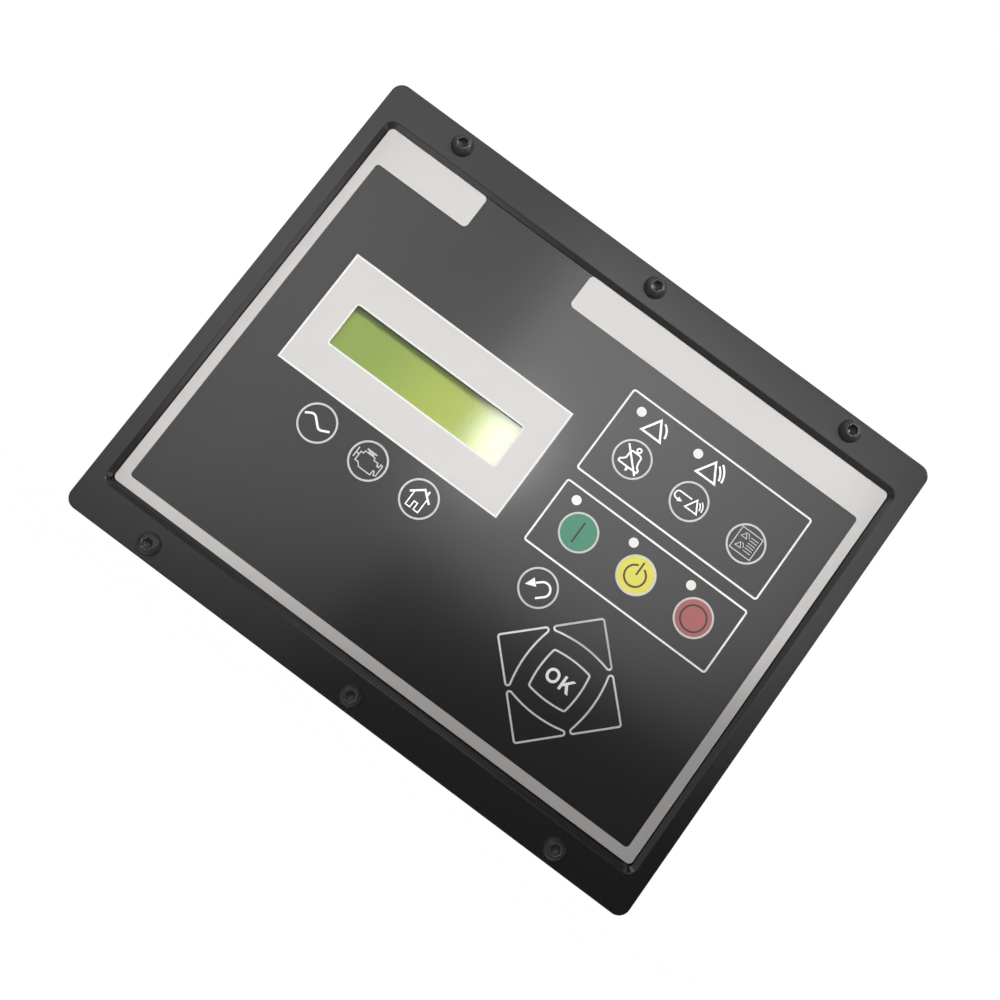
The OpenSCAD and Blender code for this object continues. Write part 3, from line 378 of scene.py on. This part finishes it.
# %% Line print
KEY_COLUMNS = (33.5, 61.6, 89.7)
ALARM_ROW = 39.1
RUN_ROW = 2.55
MENU_ROW = -24.6
RING_REACH = 8.3
FRAME_REACH = 37
RING_GREY = (0.59, 0.59, 0.58)
LINE_WHITE = (0.88, 0.88, 0.87)

material, wire = finish("line_ink")
spot = wire.node("TexCoord", output="Object")
across = wire.node("SeparateXYZ", inputs={"Vector": spot}, output="X")
up = wire.node("SeparateXYZ", inputs={"Vector": spot}, output="Z")
off_alarms, off_runs, off_menus = [
    (up - row * MM).size() for row in (ALARM_ROW, RUN_ROW, MENU_ROW)
]
upper_rows = wire.math("MINIMUM", off_alarms, off_runs).under(RING_REACH * MM)
inside_frames = (across - KEY_COLUMNS[1] * MM).size().under(FRAME_REACH * MM)
lower_row = off_menus.under(RING_REACH * MM)
greyer = wire.math("MAXIMUM", lower_row, upper_rows * inside_frames)
white_and_grey = greyer.blend(LINE_WHITE, RING_GREY)
finishes["line_ink"] = coat(wire, material, {"Base Color": white_and_grey, "Roughness": 0.45})
print("Rows of keys at", (ALARM_ROW, RUN_ROW, MENU_ROW))

# %% [markdown]
# ## Rubber and foam
#
# The gasket is closed-cell foam: a skin full of cells about a millimetre wide. A Voronoi texture gives
# such cells by its distance to the nearest centre, where a noise would give clouds.


# %% Rubber and foam
def cellular(name, colour, cell, depth, roughness):
    """Foam or rubber with a cell or grain of the given size in metres."""
    material, wire = finish(name)
    place = wire.node("TexCoord", output="Object")
    cells = wire.node("TexVoronoi", inputs={"Vector": place, "Scale": 1 / cell}, output="Distance")
    dark = tuple(channel * 0.6 for channel in colour)
    return coat(
        wire,
        material,
        {"Base Color": cells.blend(dark, colour), "Roughness": roughness - cells * 0.1},
        cells,
        depth,
    )


finishes |= {
    "foam": cellular("foam", (0.018, 0.018, 0.018), 0.9 * MM, 0.15 * MM, 0.95),
    "seal_rubber": cellular("seal_rubber", (0.42, 0.08, 0.03), 0.5 * MM, 0.02 * MM, 0.7),
}
print("With rubber and foam:", len(finishes))

# %% [markdown]
# ## Metals
#
# The blackening on the outer screws is so dull that it is dressed like a plastic, above. The fixings
# inside are zinc-plated, and the contacts are plated brass. All of them are metallic shaders: the
# colour is that of the reflection, and the wear shows as a change of roughness. Fine turning marks
# come from noise stretched along one axis.


# %% Metals
def metal(name, colour, roughness, wear=0.12, lines=(1, 1, 1), metallic=1.0):
    """Metal whose roughness wanders by wear, with marks drawn out along the axes in lines."""
    material, wire = finish(name)
    marks = noise(wire, 0.35 * MM, 3, stretch=lines)
    stain = noise(wire, 6 * MM, 4)
    dull = tuple(channel * 0.78 for channel in colour)
    return coat(
        wire,
        material,
        {
            "Base Color": stain.blend(dull, colour),
            "Metallic": metallic,
            "Roughness": roughness + (stain - 0.5) * wear + (marks - 0.5) * wear,
        },
        marks,
        0.004 * MM,
    )


ROUND_MARKS = (1, 12, 1)
LONG_MARKS = (20, 1, 1)
finishes |= {
    "plain_screw": metal("plain_screw", (0.55, 0.55, 0.53), 0.3, lines=ROUND_MARKS),
    "dome_steel": metal("dome_steel", (0.6, 0.59, 0.57), 0.25),
    "plate_metal": metal("plate_metal", (0.6, 0.6, 0.61), 0.38, lines=LONG_MARKS),
    "bezel_steel": metal("bezel_steel", (0.04, 0.042, 0.045), 0.4, metallic=0.5),
    "brass_spacer": metal("brass_spacer", (0.65, 0.48, 0.2), 0.28, lines=ROUND_MARKS),
    "plated_pin": metal("plated_pin", (0.72, 0.56, 0.26), 0.2),
}
print("With metals:", len(finishes))

# %% [markdown]
# ## The casting behind
#
# The rear housing is an aluminium casting under black powder coat. Powder melts into a low orange
# peel of lumps about a millimetre wide, with the grain of the powder on top. Two noises, added at
# their own heights, give one bump that holds both.

# %% Powder coat
material, wire = finish("housing_casting")
peel = noise(wire, 1.4 * MM, 1)
powder = noise(wire, 0.35 * MM, 2)
rubbed = noise(wire, 45 * MM, 3)
finishes["housing_casting"] = coat(
    wire,
    material,
    {
        "Base Color": rubbed.blend((0.017, 0.018, 0.019), (0.028, 0.029, 0.031)),
        "Roughness": 0.5 + (rubbed - 0.5) * 0.14 + (powder - 0.5) * 0.12,
    },
    peel * 0.7 + powder * 0.3,
    0.06 * MM,
)

# %% [markdown]
# ## The display
#
# The cover over the display is a clear, hard sheet whose shine is all that shows of it. A glass shader
# would also bend the light and keep the lamps from what is behind it. A thin sheet bends nothing, so
# a Transparent shader is mixed with a glossy one by Fresnel, which is stronger at a slant. Seen from
# inside, Fresnel would turn light back that comes in at a slant, so only the outer faces shine.

# %% Display cover
material, wire = finish("clear_lens")
sheen = wire.node("BsdfGlossy", inputs={"Color": (1, 1, 1, 1), "Roughness": 0.09})
through = wire.node("BsdfTransparent", inputs={"Color": (0.97, 0.98, 0.97, 1)})
inside = wire.node("NewGeometry", output="Backfacing")
share = wire.node("Fresnel", inputs={"IOR": 1.49}) * (1 - inside)
cover = wire.node("MixShader", inputs={0: share, 1: through, 2: sheen})
wire.node("OutputMaterial", inputs={"Surface": cover})
finishes["clear_lens"] = material

# %% [markdown]
# Behind it lies the display itself. It is yellow-green, and each of its two lines of characters is a
# row of small cells, which show very faintly when they are off. A Brick texture without an offset
# draws such a grid. Its left end lies in the shade of the recess, and that shade is painted: the
# colour is multiplied by a soft ramp along X, darker towards the left.

# %% Display
material, wire = finish("display_green")
place = wire.node("TexCoord", output="Object")
flat = wire.node("Mapping", inputs={"Vector": place, "Rotation": (math.radians(90), 0, 0)})
cells = wire.node(
    "TexBrick",
    {"offset": 0.0, "offset_frequency": 1},
    {
        "Vector": flat,
        "Color1": (0.48, 0.555, 0.115, 1),
        "Color2": (0.475, 0.55, 0.112, 1),
        "Mortar": (0.49, 0.565, 0.12, 1),
        "Scale": 1.0,
        "Mortar Size": 0.25 * MM,
        "Brick Width": 4.2 * MM,
        "Row Height": 7.6 * MM,
    },
)
along = wire.node("SeparateXYZ", inputs={"Vector": place}, output="X")
# Painted shade: the display is darker towards its left end, where its recess shades it.
shade_ramp = wire.node(
    "MapRange",
    {"interpolation_type": "SMOOTHSTEP"},
    {"Value": along, "From Min": -78 * MM, "From Max": -36 * MM},
)
painted_shade = wire.node(
    "Mix",
    {"data_type": "RGBA", "blend_type": "MULTIPLY"},
    {0: 1.0, 6: cells, 7: shade_ramp.blend((0.665, 0.735, 0.75), (1, 1, 1))},
    output=2,
)
finishes["display_green"] = coat(
    wire, material, {"Base Color": painted_shade, "Roughness": 0.3, "Specular IOR Level": 0.0}
)

# %% [markdown]
# ## Clear parts and boards inside
#
# Light pipes and the lamps under them are clear or milky mouldings. They are small and deep inside,
# so a plain Principled shader with some transmission is enough. The boards are green lacquer over
# copper tracks, and a Brick texture whose rows are shifted has the look of such tracks.

# %% Clear parts and circuit boards
material, wire = finish("light_pipe")
haze = noise(wire, 1.5 * MM)
finishes["light_pipe"] = coat(
    wire,
    material,
    {
        "Base Color": haze.blend((0.85, 0.88, 0.89), (0.95, 0.96, 0.97)),
        "Roughness": 0.12 + haze * 0.1,
        "Transmission Weight": 0.6,
    },
)
finishes["light_guide"] = printed("light_guide", (0.8, 0.8, 0.72), 0.3)
finishes["lamp_chip"] = printed("lamp_chip", (0.85, 0.8, 0.5), 0.25)
material, wire = finish("circuit_board")
place = wire.node("TexCoord", output="Object")
tracks = wire.node(
    "TexBrick",
    {"offset": 0.35, "offset_frequency": 3},
    {
        "Vector": wire.node("Mapping", inputs={"Vector": place, "Rotation": (math.radians(90), 0, 0)}),
        "Color1": (0.014, 0.10, 0.045, 1),
        "Color2": (0.018, 0.115, 0.05, 1),
        "Mortar": (0.03, 0.17, 0.075, 1),
        "Scale": 1.0,
        "Mortar Size": 0.15 * MM,
        "Brick Width": 9 * MM,
        "Row Height": 1.3 * MM,
    },
)
finishes["circuit_board"] = coat(wire, material, {"Base Color": tracks, "Roughness": 0.32})
print("Finishes:", len(finishes))

# %% [markdown]
# ## Every node gets its finish
#
# The record says which material slot each CAD node belongs to, so one loop dresses them all. Only the
# material changes: a CAD node's mesh and place stay as they were packed. The line print shares its
# slot with the other white inks and gets its own finish after the loop.

# %% Dress the nodes
for part in frame["record"]["subparts"]:
    node = nodes[part["node"]]
    node.data.materials.clear()
    node.data.materials.append(finishes[part["material_slot"]])
nodes["line_print"].data.materials[0] = finishes["line_ink"]

# %% [markdown]
# ## Drawing a printed line
#
# The signs on the keys are ink: lines about 0.8 mm wide. They could be painted into the film's
# material, but a shape with an edge stays sharp however close one looks. A line is drawn as a modeller
# would do it by hand, and these are the four moves of the pen: set it down as one vertex, pull what is
# selected along, swing it round a centre, and lift it again. They work lying down, in millimetres.

# %% Pen
FULL_TURN = 360
BEND_STEP = 10
DOUBLES = 0.002 * MM


def begin(x, z):
    """A new object with one selected vertex at (x, z) millimetres, left in edit mode."""
    bpy.ops.object.select_all(action="DESELECT")
    bpy.ops.mesh.primitive_plane_add(size=MM, enter_editmode=True)
    bpy.ops.mesh.merge(type="CENTER")
    bpy.ops.transform.translate(value=(x * MM, z * MM, 0))


def pull(offset):
    """Extrudes what is selected by offset, a vector in millimetres."""
    move = {"value": (offset.x * MM, offset.y * MM, 0)}
    bpy.ops.mesh.extrude_region_move(TRANSFORM_OT_translate=move)


def swing(centre, degrees):
    """Spins what is selected round centre, anticlockwise where degrees is positive.

    The operator itself turns clockwise for a positive angle, hence the minus."""
    bpy.ops.mesh.spin(
        steps=max(1, round(abs(degrees) / BEND_STEP)),
        angle=math.radians(-degrees),
        center=(centre.x * MM, centre.y * MM, 0),
        axis=(0, 0, 1),
    )


def lift():
    """Ends a stroke: merges its doubles, turns its faces to the viewer and leaves edit mode."""
    bpy.ops.mesh.select_all(action="SELECT")
    bpy.ops.mesh.remove_doubles(threshold=DOUBLES)
    bpy.ops.mesh.normals_make_consistent(inside=False)
    bpy.ops.object.mode_set(mode="OBJECT")
    drawn = bpy.context.object
    if drawn.data.polygons[0].normal.z < 0:
        drawn.data.flip_normals()
    return drawn


# %% [markdown]
# The first vertex is pulled out to a short edge across the line. That edge is pulled along every
# straight stretch and swung round every bend. The stretch before a bend is trimmed by the distance
# from the corner at which the bend begins. A closed line starts in the middle of its last side.


# %% Strokes
def stroke(corners, width, closed=False):
    """A line of the given width through corners, each (x, z) or (x, z, radius of its bend)."""
    points = [Vector(corner[:2]) for corner in corners]
    radii = [corner[2] if len(corner) > 2 else width / 2 for corner in corners]
    if closed:
        middle = (points[-1] + points[0]) / 2
        points = [middle, *points, middle]
        radii = [0, *radii, 0]
    legs = [after - before for before, after in zip(points, points[1:])]
    across = Vector((-legs[0].y, legs[0].x)).normalized() * width
    start = points[0] - across / 2
    begin(start.x, start.y)
    pull(across)
    bpy.ops.mesh.select_all(action="SELECT")
    used = 0.0
    for index, leg in enumerate(legs):
        along = leg.normalized()
        if index + 1 == len(legs):
            pull(along * (leg.length - used))
            break
        turn = -along.angle_signed(legs[index + 1].normalized())
        trim = radii[index + 1] * math.tan(abs(turn) / 2)
        pull(along * (leg.length - used - trim))
        side = Vector((-along.y, along.x)) * math.copysign(radii[index + 1], turn)
        swing(points[index + 1] - along * trim + side, math.degrees(turn))
        used = trim
    return lift()


# %% [markdown]
# An arc is the same edge, swung round its centre only. Where three points of a bow are known instead,
# its centre is the one place that is equally far from all three, which a formula gives.


# %% Arcs
def bow(first, middle, last, width):
    """An arc of the given width through three points."""
    a, b, c = (Vector(point) for point in (first, middle, last))
    twice = 2 * ((b - a).cross(c - a))
    ab, ac = (b - a).length_squared, (c - a).length_squared
    centre = a + Vector(
        ((c - a).y * ab - (b - a).y * ac, (b - a).x * ac - (c - a).x * ab)
    ) / twice
    turn = math.degrees(-(a - centre).angle_signed(c - centre))
    if (turn > 0) != (twice > 0):
        turn += math.copysign(FULL_TURN, twice)
    return arc(centre, a - centre, turn, width)


def arc(centre, spoke, degrees, width):
    """An arc round centre, from the end of spoke on through so many degrees."""
    outward = spoke.normalized()
    inner = centre + spoke - outward * width / 2
    begin(inner.x, inner.y)
    pull(outward * width)
    bpy.ops.mesh.select_all(action="SELECT")
    swing(centre, degrees)
    return lift()


def ring(x, z, radius, width):
    return arc(Vector((x, z)), Vector((0, radius)), FULL_TURN, width)


# %% [markdown]
# A sharp corner can't be swung round. There the two sides of the line are worked out first, each half
# the width away from its middle, and the space between them is filled. For a closed line the whole
# shape is filled, inset by the line's width and emptied again.


# %% Filled shapes
def patch(points):
    """A filled shape with the given corners."""
    corners = [Vector(point) for point in points]
    begin(*corners[0])
    for before, after in zip(corners, corners[1:]):
        pull(after - before)
    bpy.ops.mesh.select_all(action="SELECT")
    bpy.ops.mesh.edge_face_add()
    return lift()


def beside(points, distance, closed=False):
    """The points of a line moved to its right by distance, so that its stretches stay parallel."""
    spots = [Vector(point) for point in points]
    legs = [after - before for before, after in zip(spots, spots[1:] + spots[:1])]
    ways = [Vector((leg.y, -leg.x)).normalized() for leg in legs]
    if not closed:
        ways[-1] = ways[-2]
    moved = []
    for index, spot in enumerate(spots):
        before = ways[index - 1] if closed or index else ways[0]
        middle = (before + ways[index]).normalized()
        moved.append(spot + middle * distance / middle.dot(before))
    return moved


def mitred(points, width):
    """An open line with sharp corners."""
    left, right = beside(points, -width / 2), beside(points, width / 2)
    return patch([*left, *reversed(right)])


def outline(points, width):
    """A closed line with sharp corners, through points that run anticlockwise."""
    patch(beside(points, width / 2, closed=True))
    bpy.ops.object.mode_set(mode="EDIT")
    bpy.ops.mesh.select_all(action="SELECT")
    bpy.ops.mesh.inset(thickness=width * MM, use_even_offset=True)
    bpy.ops.mesh.delete(type="FACE")
    return lift()


# %% [markdown]
# ## From a drawing to ink on the face
#
# Each sign is drawn lying down, round its own middle. Its strokes are joined, stood up against the
# face, and given the thickness of the ink by a Solidify modifier. The film's front is 4.5 mm in front
# of the mounting face, and the coloured discs stand 0.08 mm proud of it.

# %% Ink on the face
FILM_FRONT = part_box("graphic_overlay")[0].y
DISC_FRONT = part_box("start_key_print")[0].y
INK = 0.08 * MM
THIN_INK = 0.03 * MM
print("Film and discs at", [round(level / MM, 2) for level in (FILM_FRONT, DISC_FRONT)])


def ink(name, strokes, at, finish_name, level=FILM_FRONT, thickness=INK):
    """Joins the strokes into one piece that stands with its back on the plane y = level."""
    bpy.ops.object.select_all(action="DESELECT")
    for part in strokes:
        part.select_set(True)
    sign = strokes[0]
    bpy.context.view_layer.objects.active = sign
    if len(strokes) > 1:
        bpy.ops.object.join()
    sign.name = name
    sign.data.name = name
    sign.location = (at[0] * MM, level - thickness, at[1] * MM)
    sign.rotation_euler = (math.pi / 2, 0, 0)
    bpy.ops.object.transform_apply(location=True, rotation=True)
    solid = sign.modifiers.new("thickness", "SOLIDIFY")
    solid.thickness = thickness
    solid.offset = -1
    bpy.ops.object.modifier_apply(modifier="thickness")
    sign.data.materials.clear()
    sign.data.materials.append(finishes[finish_name])
    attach(sign, "root")
    low, high = (Vector(corner) for corner in (sign.bound_box[0], sign.bound_box[6]))
    print(name, [round(value / MM, 2) for value in (*low, *high)])
    return sign


# %% [markdown]
# ## The signs under the display
#
# Three round keys lie under the display: one for the alternating current, one for the engine and one
# for the first page. Their signs are plain pictograms: a wave, an engine seen from the side, and a
# house. Each is a few strokes through points in millimetres from the middle of its key. The engine is
# in the greyer ink of the rings, as is the list of events further on.

# %% Wave, engine and house
MENU_COLUMNS = (-74.8, -49.8, -24.8)
ink(
    "sign_wave",
    [stroke([(-6.5, 0.55), (-3.03, 2.75, 2.2), (1.95, -2.05, 2.0), (6.05, 0.02)], 0.88)],
    (MENU_COLUMNS[0], MENU_ROW),
    "white_ink",
)
engine_body = [
    (-4.5, -2.55),
    (-3.0, -2.55),
    (-1.7, -4.0),
    (3.8, -4.0),
    (3.9, -1.9),
    (4.5, -1.9),
    (5.0, -3.4),
    (5.9, -3.0),
    (5.9, 1.6),
    (5.0, 1.8),
    (4.75, 0.35),
    (4.05, 0.35),
    (3.65, 1.55),
    (1.7, 1.55),
    (1.45, 2.6),
    (-3.2, 2.6),
    (-3.3, 1.46),
    (-4.5, 1.46),
]
ink(
    "sign_engine",
    [
        outline(engine_body, 0.45),
        stroke([(-5.94, 2.55), (-5.94, -1.95)], 0.5),
        stroke([(-5.9, 0.2), (-4.5, 0.2)], 0.5),
        patch([(-3.0, 3.5), (1.6, 3.5), (1.6, 4.15), (-3.0, 4.15)]),
        patch([(-2.0, 2.6), (0.6, 2.6), (0.6, 3.55), (-2.0, 3.55)]),
    ],
    (MENU_COLUMNS[1], MENU_ROW),
    "line_ink",
)
house_walls = [
    (-3.24, 1.7),
    (-3.24, -4.66),
    (-1.05, -4.66),
    (-1.05, -1.72),
    (0.6, -1.72),
    (0.6, -4.66),
    (2.8, -4.66),
    (2.8, 1.7),
]
ink(
    "sign_house",
    [
        mitred(house_walls, 0.5),
        mitred([(-4.85, 0.55), (-0.1, 4.42), (4.5, 0.45)], 0.85),
        stroke([(1.85, 4.85), (1.85, 2.7)], 0.75),
    ],
    (MENU_COLUMNS[2], MENU_ROW),
    "white_ink",
)

# %% [markdown]
# ## The signs beside the display
#
# The upper group has two warning lamps, each with a triangle and its sound: one bow for a warning, two
# for a shutdown. Under them are a silenced bell, a reset and a list of events.

# %% Warning signs
ink(
    "sign_warning",
    [
        outline([(29.3, 51.3), (38.35, 51.3), (33.85, 58.95)], 0.88),
        bow((35.95, 58.65), (37.95, 56.75), (38.95, 53.6), 0.82),
    ],
    (0, 0),
    "white_ink",
)
ink(
    "sign_shutdown",
    [
        outline([(56.65, 50.8), (65.65, 50.8), (61.26, 58.45)], 0.88),
        bow((63.3, 57.95), (65.25, 55.75), (66.35, 52.95), 0.8),
        bow((64.1, 59.35), (66.5, 56.7), (67.65, 52.85), 0.82),
    ],
    (0, 0),
    "white_ink",
)
bell_body = [
    (-4.45, -3.55),
    (4.6, -3.55),
    (4.55, -2.5),
    (3.3, -1.5, 1.2),
    (2.8, 0.5, 3.0),
    (2.75, 2.95, 1.2),
    (-2.4, 2.95, 1.0),
    (-2.45, -0.9, 1.6),
    (-4.4, -2.55),
]
ink(
    "sign_silence",
    [
        stroke(bell_body, 0.72, closed=True),
        ring(0.35, 4.5, 0.88, 0.72),
        patch([(-0.45, -3.8), (0.95, -3.8), (0.5, -5.4), (-0.05, -5.4)]),
        stroke([(-4.7, 4.6), (4.5, -5.0)], 0.82),
    ],
    (KEY_COLUMNS[0], ALARM_ROW),
    "white_ink",
)
ink(
    "sign_reset",
    [
        stroke([(0.5, 1.44), (-6.5, 1.44, 1.5), (-6.5, -1.86, 1.4), (-4.2, -1.86)], 0.64),
        patch([(-4.3, -2.75), (-2.2, -1.72), (-4.3, -0.75)]),
        outline([(-0.3, -2.6), (5.25, -2.6), (2.5, 2.4)], 0.62),
        bow((3.85, 2.0), (4.98, 0.65), (5.35, -0.8), 0.5),
        bow((4.5, 2.85), (5.97, 1.1), (6.35, -0.8), 0.55),
    ],
    (KEY_COLUMNS[1], ALARM_ROW),
    "white_ink",
)


def small_warning(z):
    """A small triangle with one bow, as the list of events shows them."""
    return [
        outline([(-3.55, z), (-1.0, z), (-2.2, z + 2.15)], 0.3),
        bow((-1.5, z + 2.45), (-0.65, z + 1.75), (-0.2, z + 0.6), 0.3),
    ]


event_lines = [stroke([(0.35, z), (3.8, z)], 0.3) for z in (3.16, 1.96, 0.7, -0.44, -1.54, -2.76)]
ink(
    "sign_events",
    [
        outline([(-4.95, -4.7), (4.8, -4.7), (4.8, 5.1), (-4.95, 5.1)], 0.38),
        *small_warning(1.65),
        *small_warning(-2.75),
        *event_lines,
    ],
    (KEY_COLUMNS[2], ALARM_ROW),
    "line_ink",
)

# %% [markdown]
# ## The signs on the coloured keys
#
# Start, automatic and stop carry the usual signs of a switch: a bar for on, a broken ring with a bar
# for standby and a whole ring for off. They are dark ink over the coloured discs.

# %% Start, automatic and stop
BROKEN_RING_START = 106
BROKEN_RING_SWEEP = 323
standby_spoke = Vector((0, 4.4))
standby_spoke.rotate(Matrix.Rotation(math.radians(BROKEN_RING_START - 90), 2))
dark_signs = {
    "sign_start": ([stroke([(-0.15, 4.65), (-0.15, -4.75)], 0.75)], KEY_COLUMNS[0]),
    "sign_standby": (
        [
            arc(Vector((-0.18, -0.4)), standby_spoke, BROKEN_RING_SWEEP, 0.78),
            stroke([(-0.05, 6.05), (-0.05, 0.1)], 0.75),
        ],
        KEY_COLUMNS[1],
    ),
    "sign_stop": ([ring(0.1, -0.22, 5.32, 0.75)], KEY_COLUMNS[2]),
}
for name, (strokes, x) in dark_signs.items():
    ink(name, strokes, (x, RUN_ROW), "sign_ink", DISC_FRONT, THIN_INK)

# %% [markdown]
# ## Return and OK
#
# The round key above the arrows carries a bent arrow. The middle of the arrows says OK, which is a
# word that any keypad has. A text object would be the quick way to set it, but Blender's own face has
# other letters than the bold print on the film. The two are soon drawn: the O is a closed line with
# wide bends, and the K is one shape with twelve corners.

# %% Return and OK
ink(
    "sign_return",
    [
        stroke([(-1.9, 1.1), (2.15, 4.73, 2.97), (6.1, 0.43, 2.97), (1.4, -4.0)], 0.86),
        patch([(-5.15, -1.78), (-0.85, -0.1), (-3.5, 2.45)]),
    ],
    (KEY_COLUMNS[0], MENU_ROW),
    "white_ink",
)
NAV_CENTRE = (61.4, -48.6)
letter_o = [(-5.35, -2.35, 2.2), (-0.88, -2.35, 2.2), (-0.88, 2.53, 2.2), (-5.35, 2.53, 2.2)]
letter_k = [
    (1.0, 3.05),
    (2.15, 3.05),
    (2.15, 0.25),
    (4.65, 3.05),
    (6.0, 3.05),
    (3.85, 0.6),
    (5.95, -2.95),
    (4.6, -2.95),
    (3.0, -0.35),
    (2.15, -1.2),
    (2.15, -2.95),
    (1.0, -2.95),
]
ink(
    "sign_ok",
    [stroke(letter_o, 1.12, closed=True), patch(letter_k)],
    NAV_CENTRE,
    "white_ink",
)

# %% [markdown]
# ## The sockets of the screws
#
# The button heads have a wide hexagon socket with a chamfered edge. The screws from the CAD model have
# a narrower one without a chamfer. A screw could be made anew from a spun profile, but its head, neck
# and thread are right, so the six are copied and only the sockets are widened. All their points are
# moved outwards, a cut is made round the walls just under the top, and the points above it are moved
# outwards once more. The copy then stands for the CAD node.

# %% Copy of the screws
HEAD_RADIUS = 4.7 * MM
SOCKET_DEPTH = 2.4 * MM
CHAMFER = 0.35 * MM
HAIR = 0.05 * MM
corner_cad, corner_wide = [flats / math.sqrt(3) * MM for flats in (3.0, 4.0)]
screws_low, screws_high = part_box("mounting_screws")
screw_top = screws_low.y
column = (screws_high.x - screws_low.x) / 2 - HEAD_RADIUS
row = (screws_high.z - screws_low.z) / 2 - HEAD_RADIUS
screw_places = [(x * column, z * row) for x in (-1, 0, 1) for z in (-1, 1)]
screws = bpy.data.objects.new("socket_screws", nodes["mounting_screws"].data.copy())
bpy.context.scene.collection.objects.link(screws)
bpy.ops.object.select_all(action="DESELECT")
screws.select_set(True)
bpy.context.view_layer.objects.active = screws
bpy.ops.object.mode_set(mode="EDIT")
bpy.ops.mesh.select_mode(type="VERT")
bpy.ops.mesh.select_all(action="SELECT")
bpy.ops.mesh.remove_doubles(threshold=DOUBLES)
print("Screws at", [[round(value / MM, 2) for value in place] for place in screw_places])


# %% Wider sockets
def pick(place, reach, rear):
    """Selects the points of the screw at place that lie within reach of its axis and before rear."""
    bpy.ops.mesh.select_all(action="DESELECT")
    bpy.ops.object.mode_set(mode="OBJECT")
    for point in screws.data.vertices:
        off_axis = math.hypot(point.co.x - place[0], point.co.z - place[1])
        point.select = off_axis < reach and point.co.y < rear
    bpy.ops.object.mode_set(mode="EDIT")


def widen(place, factor):
    """Moves what is selected away from the axis of the screw at place."""
    centre = (place[0], screw_top, place[1])
    bpy.ops.transform.resize(value=(factor, 1, factor), center_override=centre)


for place in screw_places:
    pick(place, corner_cad + HAIR, screw_top + SOCKET_DEPTH)
    widen(place, corner_wide / corner_cad)
    bpy.ops.mesh.bisect(plane_co=(0, screw_top + CHAMFER, 0), plane_no=(0, 1, 0))
    pick(place, corner_wide + HAIR, screw_top + HAIR)
    widen(place, 1 + CHAMFER / corner_wide)
bpy.ops.object.mode_set(mode="OBJECT")
bpy.ops.object.shade_smooth_by_angle(angle=math.radians(30))
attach(screws, "root")
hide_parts("mounting_screws")

# %% [markdown]
# The key that turns such a screw rubs the blackening off the chamfer, and the chamfer catches the
# light, so it shows as a light ring. Both are painted here: the chamfer's colour is lighter, a painted
# highlight on top of the wear. It could be given a material of its own, but one material is enough if
# each face says whether it is in the ring. So the slanting faces round the socket's mouth get a 1 in
# an attribute, which the shader reads.

# %% Worn chamfers with a painted highlight
STEEP, FLAT = -0.4, -0.9
rubbed_and_lit = screws.data.attributes.new("rubbed_and_lit", "FLOAT", "FACE")
for face in screws.data.polygons:
    off_axis = min(math.hypot(face.center.x - x, face.center.z - z) for x, z in screw_places)
    at_mouth = off_axis < corner_wide + CHAMFER and face.center.y < screw_top + CHAMFER
    rubbed_and_lit.data[face.index].value = float(at_mouth and FLAT < face.normal.y < STEEP)
material, wire = finish("screw_rubbed_and_lit")
wear = wire.node("Attribute", {"attribute_name": "rubbed_and_lit"}, output="Fac")
fine = noise(wire, 0.6 * MM)
finishes["screw_rubbed_and_lit"] = coat(
    wire,
    material,
    {
        # Painted highlight with the wear: the ring's faces are about six times lighter than the head.
        "Base Color": wear.blend((0.028, 0.028, 0.028), (0.17, 0.17, 0.168)),
        "Roughness": 0.45 + fine * 0.1 - wear * 0.12,
    },
)
screws.data.materials.clear()
screws.data.materials.append(finishes["screw_rubbed_and_lit"])
print("Worn faces:", sum(value.value for value in rubbed_and_lit.data))
